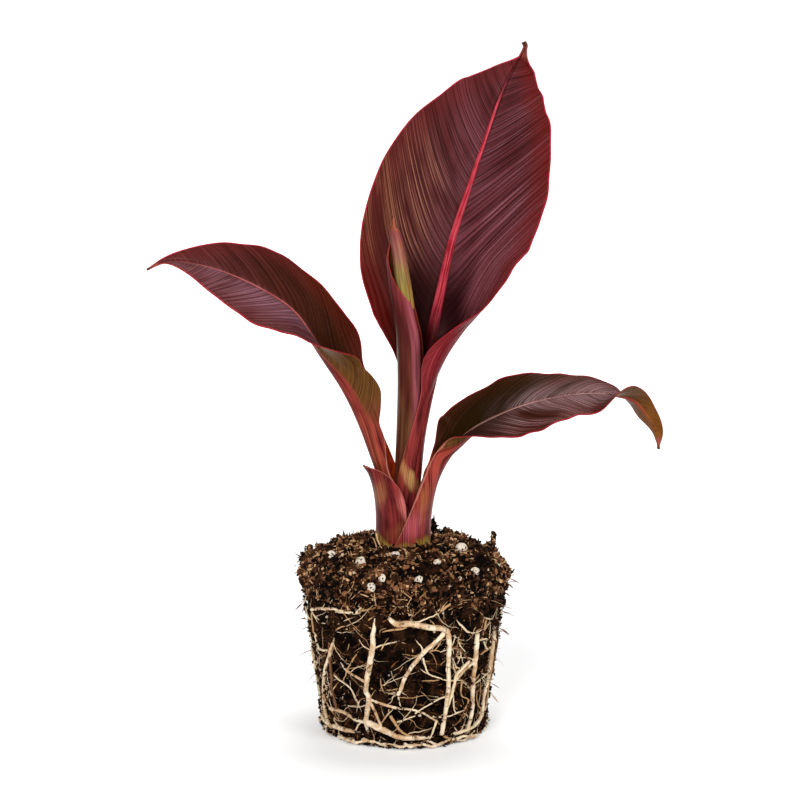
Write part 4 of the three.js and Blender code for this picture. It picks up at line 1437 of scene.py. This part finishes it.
# %% Perlite
BACK_GRAINS, SIDE_GRAINS = 26, 40
LARGE_GRAIN = 1.5
at_back = on_ball(SIDE_RUN + 4, TOP_RUN - 14, BACK_GRAINS, (20, 160))[0]
at_back[:, 2] = chance.uniform(0.6, 2.2, BACK_GRAINS)
x, y, size = np.vstack([PERLITE, at_back]).T
on_mound = np.column_stack([x, y, mound_height(x, y) + 0.4 + 0.2 * size, size])
on_side = on_ball(8, SIDE_RUN, SIDE_GRAINS)[0]
grains = np.vstack([on_mound, np.column_stack([on_side, chance.uniform(0.3, 0.8, SIDE_GRAINS)])])
large = grains[:, 3] > LARGE_GRAIN
shade_and_dust_lenses = []
for name, colour, chosen, (points, faces), pits in (
    ("perlite", paint(214, 202, 184), grains[large], ball_shape(5), 13),
    ("perlite_small", paint(196, 178, 154), grains[~large], ball_shape(3), 5),
):
    bodies = []
    for x, y, z, size in chosen:
        stretch = size * chance.uniform(0.85, 1.15, 3)
        shape, holes = grain(points, pits, np.array([x, y, 40]) / 60)
        bodies.append(shape * stretch + [x, y, z])
        for hole, width in holes:
            lens = crumb_points * chance.uniform(0.4, 1.0, 3) * width * size
            shade_and_dust_lenses.append(lens + hole * stretch + [x, y, z])
    faces = repeated(faces, len(points), len(bodies))
    joined(name, np.vstack(bodies), faces, plain(name, colour, 0.85), "peat")
# The dark lenses in the pits are painted shade and peat dust.
shade_and_dust_faces = repeated(crumb_faces, len(crumb_points), len(shade_and_dust_lenses))
shade_and_dust_paint = plain("perlite_pit_shade_and_dust", paint(58, 38, 24), 0.9)
joined("perlite_pit_shade_and_dust", np.vstack(shade_and_dust_lenses), shade_and_dust_faces, shade_and_dust_paint, "peat")

# %% [markdown]
# ## Root skin
#
# Pale roots run down the ball, branch and circle round its foot, as they do in a small pot. Their skin
# is cream to tan, with brown rings where they were scarred and smudges of peat. The rings follow the
# run that the tubes keep, and the smudges follow the place.


# %% Root finish
def root_finish(name, pale, tan, scar):
    """Cream skin with tan stains, brown rings and smudges."""
    material, start, shader = finish_named(name)
    run = kept(start, "run")
    stain = noise(start, 130.0, 4.0, 0.65)
    smudge = noise(start, 420.0, 3.0, 0.6)
    skin = streaks(start, run * 0.25, stain * 3.0)
    ring_sockets = {"W": run * 0.6, "Scale": 1.0, "Detail": 2.0}
    rings_at = start.node("ShaderNodeTexNoise", {"noise_dimensions": "1D"}, ring_sockets)
    colour = (stain * 0.6 + skin * 0.4).ease(0.4, 0.66).blend(pale, tan)
    colour = (rings_at.ease(0.62, 0.7) * smudge.ease(0.4, 0.54) * 0.7).blend(colour, scar)
    colour = (smudge.ease(0.55, 0.67) * stain.ease(0.38, 0.56) * 0.85).blend(colour, scar)
    attach(colour, shader, "Base Color")
    attach(0.5 + 0.2 * stain, shader, "Roughness")
    relief(start, shader, 0.6, 0.0006, skin + smudge)
    fixed(shader, {"Specular IOR Level": 0.3})
    return material


root_skin = root_finish("root_skin", paint(228, 208, 178), paint(182, 142, 100), paint(86, 52, 28))
print("root finish ready")

# %% [markdown]
# ## Laying a root on the ball
#
# A root's course is a few points, each a bearing in degrees and a height in millimetres. A smooth
# curve goes through them, wanders a little, and is laid on the tapered side. An end that meets no
# other root dives into the peat, because a root that simply stops looks cut off.

# %% Root helpers
BEARING_MM = 0.68
MEETING = 1.5
LOWEST = 0.6


def side_reach(height):
    """Distance of the ball's side from its axis."""
    return np.interp(height, (0, RIM_HEIGHT), (FOOT_EDGE, BALL_RIM))


def smooth_course(course, step):
    """Bearings and heights along a course in steps of about so many millimetres, and its length."""
    course = np.array(course, float)
    reach = np.hypot(np.diff(course[:, 0]) * BEARING_MM, np.diff(course[:, 1])).sum()
    n = max(6, int(reach / step))
    return along(course, np.linspace(0, len(course) - 1, n)), reach


def free_ends(course, network):
    """1 for each end of a course that meets no other root, otherwise 0."""
    found = []
    for b, z in (course[0], course[-1]):
        others = np.vstack([points for other, points in network if other is not course])
        near = np.hypot((others[:, 0] - b) * BEARING_MM, others[:, 1] - z).min()
        found.append(1.0 if near > MEETING else 0.0)
    return found


def laid(course, thickness, step, wander, end=0.8, lift=0.0, dive=(1.0, 1.0)):
    """A root's path on the side of the ball and its radii. dive: how much each end sinks into the peat."""
    fine, reach = smooth_course(course, step)
    n = len(fine)
    share = np.linspace(0, 1, n)
    sway = np.cumsum(chance.normal(size=(n, 2)), axis=0)
    sway -= np.linspace(sway[0], sway[-1], n)
    fine = fine + sway * wander * np.array([1.3, 1.0])
    fine[:, 1] = np.maximum(fine[:, 1], LOWEST)
    radius = thickness / 2 * (1 + 0.1 * np.cumsum(chance.normal(size=n)) / np.sqrt(np.arange(n) + 1))
    knobbly = 1 + 0.05 * chance.normal(size=n)
    radius = np.maximum(radius, 0.3 * thickness) * (1 + (end - 1) * share) * knobbly
    diving = 2.0 * thickness + 4.0
    sunk = [d * np.clip(1 - far * reach / diving, 0, 1) ** 1.2 for d, far in zip(dive, (share, 1 - share))]
    sunk = np.maximum(*sunk)
    out = side_reach(fine[:, 1]) + 0.31 * thickness + 0.2 + lift * np.sin(math.pi * share)
    out = out - (0.35 * thickness + 0.7) * sunk
    return round_about(out, np.radians(fine[:, 0]), fine[:, 1]), radius * (1 - 0.7 * sunk)


print("roots are laid on a side", FOOT_EDGE, "to", BALL_RIM, "mm from the axis")

# %% [markdown]
# ## Root courses
#
# The thick roots have the courses of the solids. The side roots that branch off them are laid where
# they are seen, and their pattern is turned and used twice more round the back. The thick roots of
# the back are not seen at all, so a small formula varies one pattern of root, branch and hook.

# %% Root courses
ROOTS = {
    "roots_front_left": [
        (2.6, [(-107, 61), (-108, 49), (-111, 38), (-114, 27), (-113, 22), (-116, 12), (-116, 4)]),
        (1.6, [(-113, 22), (-105, 9), (-96, 6)]),
        (2.6, [(-116, 11), (-103, 8), (-94, 5), (-82, 4), (-69, 4)]),
        (1.6, [(-150, 12), (-135, 13), (-123, 11), (-116, 11)]), (1.4, [(-134, 36), (-126, 33), (-113, 29)]),
        (1.2, [(-113, 22), (-97, 19), (-81, 17), (-69, 12)]),
    ],
    "roots_front_middle": [
        (2.5, [(-100, 61), (-95, 58), (-87, 58), (-76, 56), (-67, 54), (-64, 48), (-63, 38), (-62, 25),
               (-64, 5)]),
        (1.8, [(-67, 53), (-79, 44), (-88, 35), (-94, 25)]),
    ],
    "roots_front_right": [
        (2.1, [(-43, 49), (-42, 38), (-42, 28), (-40, 19), (-39, 12), (-42, 3)]),
        (1.5, [(-42, 36), (-50, 34), (-56, 30)]),
    ],
    "roots_right": [(2, [(-19, 49), (-23, 40), (-22, 25), (-25, 15), (-24, 7), (-35, 4)])],
    "roots_left": [
        (1.8, [(-137, 47), (-141, 39), (-150, 28), (-156, 19), (-160, 10), (-157, 4)]),
        (2.4, [(-158, 4), (-139, 4.5), (-122, 5)]),
    ],
    "roots_upper": [(1.3, [(-158, 56), (-136, 61), (-124, 61), (-115, 62)])],
}
for i in range(6):
    b = 10 + 29 * i
    sway = 4 * math.sin(2.4 * i + 1)
    top = 54 + 7 * math.sin(1.9 * i)
    ROOTS[f"roots_back_{i + 1}"] = [
        (2.2 + 0.3 * math.cos(2.1 * i), [(b, top), (b + sway, 38), (b - 2, 24), (b + 1, 12), (b - 1, 4)]),
        (1.4, [(b - 2, 24), (b + 6, 19), (b + 13, 13 + sway)]), (2, [(b, 6), (b + 8, 4), (b + 20, 4)]),
    ]
SIDE_ROOTS = [
    (0.9, [(-118, 44), (-125, 36), (-132, 28)]), (0.8, [(-108, 46), (-99, 49), (-92, 50)]),
    (0.8, [(-119, 51), (-115, 47), (-110, 45)]), (1.3, [(-99, 15), (-96, 11), (-91, 7), (-84, 5)]),
    (1.0, [(-62, 45), (-57, 45), (-53, 42), (-47, 37)]),
    (0.9, [(-79, 42), (-77, 38), (-75, 34), (-68, 32), (-62, 30), (-54, 29), (-44, 26)]),
    (0.8, [(-81, 37), (-75, 34)]), (0.7, [(-80, 31), (-74, 31), (-68, 31)]),
    (1.4, [(-41, 37), (-47, 37), (-54, 34), (-57, 32), (-58, 25), (-60, 19), (-62, 14), (-63, 5)]),
    (1.0, [(-60, 41), (-59, 36), (-57, 33)]), (0.7, [(-83, 16), (-76, 19), (-66, 22), (-60, 22)]),
    (0.7, [(-71, 14), (-62, 13), (-52, 14), (-42, 14)]),
    (1.0, [(-68, 12), (-70, 8), (-73, 3), (-73, 1)]),
    (0.8, [(-145, 30), (-135, 28), (-127, 26), (-123, 21), (-120, 14)]),
    (0.8, [(-125, 13), (-121, 19), (-119, 22)]), (1.0, [(-148, 9), (-147, 7), (-142, 5)]),
    (1.5, [(-134, 1), (-122, 1), (-112, 2), (-103, 1), (-94, 1)]),
    (1.0, [(-159, 1), (-149, 1), (-139, 1)]), (1.2, [(-62, 4), (-53, 1), (-43, 1)]),
    (1.9, [(-56, 4), (-48, 4), (-35, 4), (-20, 4)]),
    (1.6, [(-21, 45), (-20, 37), (-19, 28), (-21, 22), (-19, 15), (-21, 10), (-27, 6)]),
    (0.9, [(-22, 40), (-34, 39), (-38, 38)]), (0.6, [(-107, 26), (-99, 27), (-94, 28)]),
    (0.6, [(-105, 34), (-104, 28), (-102, 24)]), (0.6, [(-105, 29), (-99, 29)]),
    (0.8, [(-58, 25), (-55, 15), (-51, 14)]), (0.7, [(-58, 6), (-52, 9), (-46, 13)]),
    (0.7, [(-56, 10), (-51, 5)]), (0.7, [(-111, 7), (-101, 15), (-100, 18)]),
    (0.7, [(-95, 12), (-87, 14), (-83, 15)]), (0.8, [(-126, 5), (-122, 9), (-118, 11)]),
    (0.6, [(-94, 24), (-92, 19)]), (0.8, [(-159, 44), (-154, 40), (-145, 39)]),
    (0.9, [(-175, 29), (-175, 22), (-168, 18), (-172, 9)]), (0.7, [(-164, 25), (-150, 27), (-143, 27)]),
    (0.8, [(-84, 51), (-80, 47), (-80, 43)]), (0.7, [(-75, 45), (-71, 45), (-66, 43)]),
    (0.7, [(-59, 52), (-60, 49), (-62, 45)]), (0.7, [(-56, 51), (-57, 47), (-51, 42)]),
    (0.8, [(-40, 27), (-34, 29), (-30, 30)]), (0.8, [(-39, 21), (-32, 21), (-24, 18)]),
    (0.7, [(-18, 7), (-33, 15), (-35, 21)]), (1.1, [(-135, 59), (-123, 61), (-117, 62), (-113, 66)]),
    (1.1, [(-136, 50), (-130, 53), (-123, 55)]), (0.8, [(-128, 56), (-123, 58), (-118, 60)]),
    (1.2, [(-105, 53), (-98, 55), (-90, 56), (-86, 58)]), (1.9, [(-102, 68), (-96, 66.5), (-90, 65)]),
    (0.8, [(-88, 63), (-85, 59), (-76, 61), (-71, 62)]), (1.3, [(-70, 63), (-64, 66), (-58, 68)]),
    (1.0, [(-61, 59), (-56, 55), (-49, 51), (-40, 49)]), (0.8, [(-55, 64), (-51, 66)]),
    (1.0, [(-38, 45), (-36, 53), (-35, 55)]), (0.7, [(-36, 55), (-25, 52)]),
    (0.9, [(-167, 46), (-157, 45), (-153, 43)]), (0.8, [(-69, 68), (-70, 66), (-70, 62)]),
    (0.7, [(-45, 60), (-43, 62), (-45, 65)]),
]
BACK_TURNS = (0, -122, 124)
side_courses = [
    (thickness, [(b + turn, z) for b, z in course]) for turn in BACK_TURNS for thickness, course in SIDE_ROOTS
]
all_courses = [course for courses in ROOTS.values() for _, course in courses]
all_courses += [course for _, course in side_courses]
network = [(course, smooth_course(course, 0.8)[0]) for course in all_courses]
print(len(all_courses), "root courses")

# %% [markdown]
# ## Thick roots and side roots
#
# Each solid root gets its dressed one, a knobbly tube that thins out along its way. The side roots are
# thinner and of three ages: cream when young, then tan, then brown.

# %% Thick roots and side roots
ROOT_COLOURS = {"cream": paint(220, 197, 163), "tan": paint(178, 138, 95), "brown": paint(112, 72, 42)}
ROOT_MIX = (0.5, 0.33, 0.17)
for node, courses in ROOTS.items():
    strands = [
        laid(course, thickness, step=0.7, wander=0.08, dive=free_ends(course, network))
        for thickness, course in courses
    ]
    tube_piece(node.replace("roots", "root"), strands, 12, root_skin, "roots", node)
side_kinds = chance.choice(3, len(side_courses), p=ROOT_MIX)
for k, (tone, colour) in enumerate(ROOT_COLOURS.items()):
    strands = [
        laid(course, thickness, step=0.8, wander=0.1, end=0.6, lift=0.4, dive=free_ends(course, network))
        for (thickness, course), kind in zip(side_courses, side_kinds) if kind == k
    ]
    tube_piece("side_roots_" + tone, strands, 8, plain("side_root_" + tone, colour, 0.6, 0.25), "roots")

# %% [markdown]
# ## Fine rootlets
#
# The finest roots leave the others to one side and wander on, and finer ones still leave these. They
# are grown by chance, a few steps each, because no one could lay nine hundred of them by hand.

# %% Fine rootlets
LOWEST_BRANCH, HIGHEST_BRANCH = 0.8, 66


def branches(courses, count, short, long):
    """Courses of fine roots that leave the given ones to one side and wander on."""
    found = []
    for _ in range(count):
        course = np.array(courses[chance.randint(len(courses))], float)
        i = chance.randint(len(course) - 1)
        b, z = course[i] + (course[i + 1] - course[i]) * chance.uniform()
        ahead = (course[i + 1] - course[i]) * [BEARING_MM, 1]
        way = math.atan2(ahead[1], ahead[0]) + chance.choice([-1, 1]) * chance.uniform(0.4, 1.1)
        steps = chance.randint(3, 6)
        size = chance.uniform(short, long) / steps
        path = [(b, z)]
        for _ in range(steps):
            way += chance.normal() * 0.28
            b = b + size * math.cos(way) / BEARING_MM
            z = min(max(z + size * math.sin(way), LOWEST_BRANCH), HIGHEST_BRANCH)
            path.append((b, z))
        found.append(path)
    return found


first = branches(all_courses, 380, short=5, long=17)
second = branches(first, 520, short=2, long=9)
rootlets = [(course, chance.uniform(0.26, 0.56), 0.8) for course in first]
rootlets += [(course, chance.uniform(0.16, 0.3), 0.5) for course in second]
rootlet_kinds = chance.choice(3, len(rootlets), p=ROOT_MIX)
for k, (tone, colour) in enumerate(ROOT_COLOURS.items()):
    strands = [
        laid(course, thickness, step=0.8, wander=0.1, end=0.35, lift=chance.uniform(0, lift), dive=(0.0, 1.0))
        for (course, thickness, lift), kind in zip(rootlets, rootlet_kinds) if kind == k
    ]
    tube_piece("rootlets_" + tone, strands, 5, plain("rootlet_" + tone, colour, 0.65, 0.2), "roots")

# %% [markdown]
# ## The tangle at the foot
#
# Roots that reach the bottom of a pot circle round it and cross each other. Short strands at random
# distances and heights give such a tangle. In front it stands out a little, as the real one does.
# The root ends of the next cell get their bearings and lengths here as well.

# %% Root tangle
FOOT_ROOTS = [
    (-153, 3.5), (-138, 2), (-123, 3), (-104, 2.5), (-84, 2), (-72, 4.5), (-55, 2.5), (-40, 4), (-14, 3),
]
FOOT_ROOTS += [(b, chance.uniform(1.5, 4)) for b in range(15, 200, 23)]
TANGLE_STRANDS = 36
STRAND_POINTS = 24
NEAREST, FURTHEST = [[34.2], [35.6], [35.6], [34.4]], [[35.8], [37.6], [37.6], [37]]
strand_places = np.linspace(0, 3, STRAND_POINTS)
strands = []
for i in range(TANGLE_STRANDS):
    middle = 360 / TANGLE_STRANDS * i + chance.uniform(-6, 6)
    a = np.radians(middle + chance.uniform(5, 15) * np.linspace(-1, 1, STRAND_POINTS))
    out = along(chance.uniform(NEAREST, FURTHEST), strand_places)[:, 0]
    thickness = chance.uniform(0.6, 1.6)
    height = 0.45 * thickness + along(chance.uniform(0, 2.2, (4, 1)), strand_places)[:, 0].clip(0)
    out = out + chance.uniform(-0.6, 3.4) * smooth(-np.sin(a), 0.1, 0.8)
    knobbly = 1 + 0.08 * chance.normal(size=STRAND_POINTS)
    radii = thickness / 2 * knobbly * np.linspace(1, 0.5, STRAND_POINTS)
    strands.append((round_about(out, a, height), radii))
tube_piece("root_tangle", strands, 8, root_skin, "roots")

# %% [markdown]
# ## Root ends
#
# A few broken ends come out under the foot and lie on the floor. Each is a short curve from inside
# the ball down to the ground, and it thins out to its point.

# %% Root ends
END_HEIGHTS = [3.4, 2.2, 1.1, 0.5]
strands = []
for bearing, reach in FOOT_ROOTS:
    out = np.array([32.5, 34, 34.5 + 0.5 * reach, 34.5 + reach])
    a = np.radians(bearing + np.cumsum(chance.normal(size=4)) * 1.5)
    path = along(round_about(out, a, END_HEIGHTS), np.linspace(0, 3, 9))
    strands.append((path, np.linspace(0.65, 0.22, 9)))
tube_piece("root_ends", strands, 8, plain("root_end", paint(186, 146, 102), 0.65, 0.2), "roots")

# %% [markdown]
# ## Peat that sticks to the roots
#
# Crumbs cling to the roots, and more of them where an end goes into the peat. They hide the place
# where a tube meets the ball, and they break up the roots' clean outlines.

# %% Peat that sticks to the roots
CRUMBS_AT_END = 9
CRUMBS_ON_WAY = 0.09
stuck = []
for course, points in network:
    ends = [end for end, free in zip((points[0], points[-1]), free_ends(course, network)) if free]
    spots = [end for end in ends for _ in range(CRUMBS_AT_END)]
    spots = np.array(spots + [p for p in points if chance.uniform() < CRUMBS_ON_WAY]).reshape(-1, 2)
    bearing, z = (spots + chance.normal(size=spots.shape) * [1.2, 0.8]).T
    out = side_reach(z) + chance.uniform(0.2, 1.6, len(z))
    stuck.append(round_about(out, np.radians(bearing), z))
stuck = np.vstack(stuck)
bodies = rough_balls(len(stuck), 0.3)
strewn("crumbs_on_roots", paint(44, 25, 14), bodies, chance.uniform(0.2, 0.65, len(stuck)), stuck)
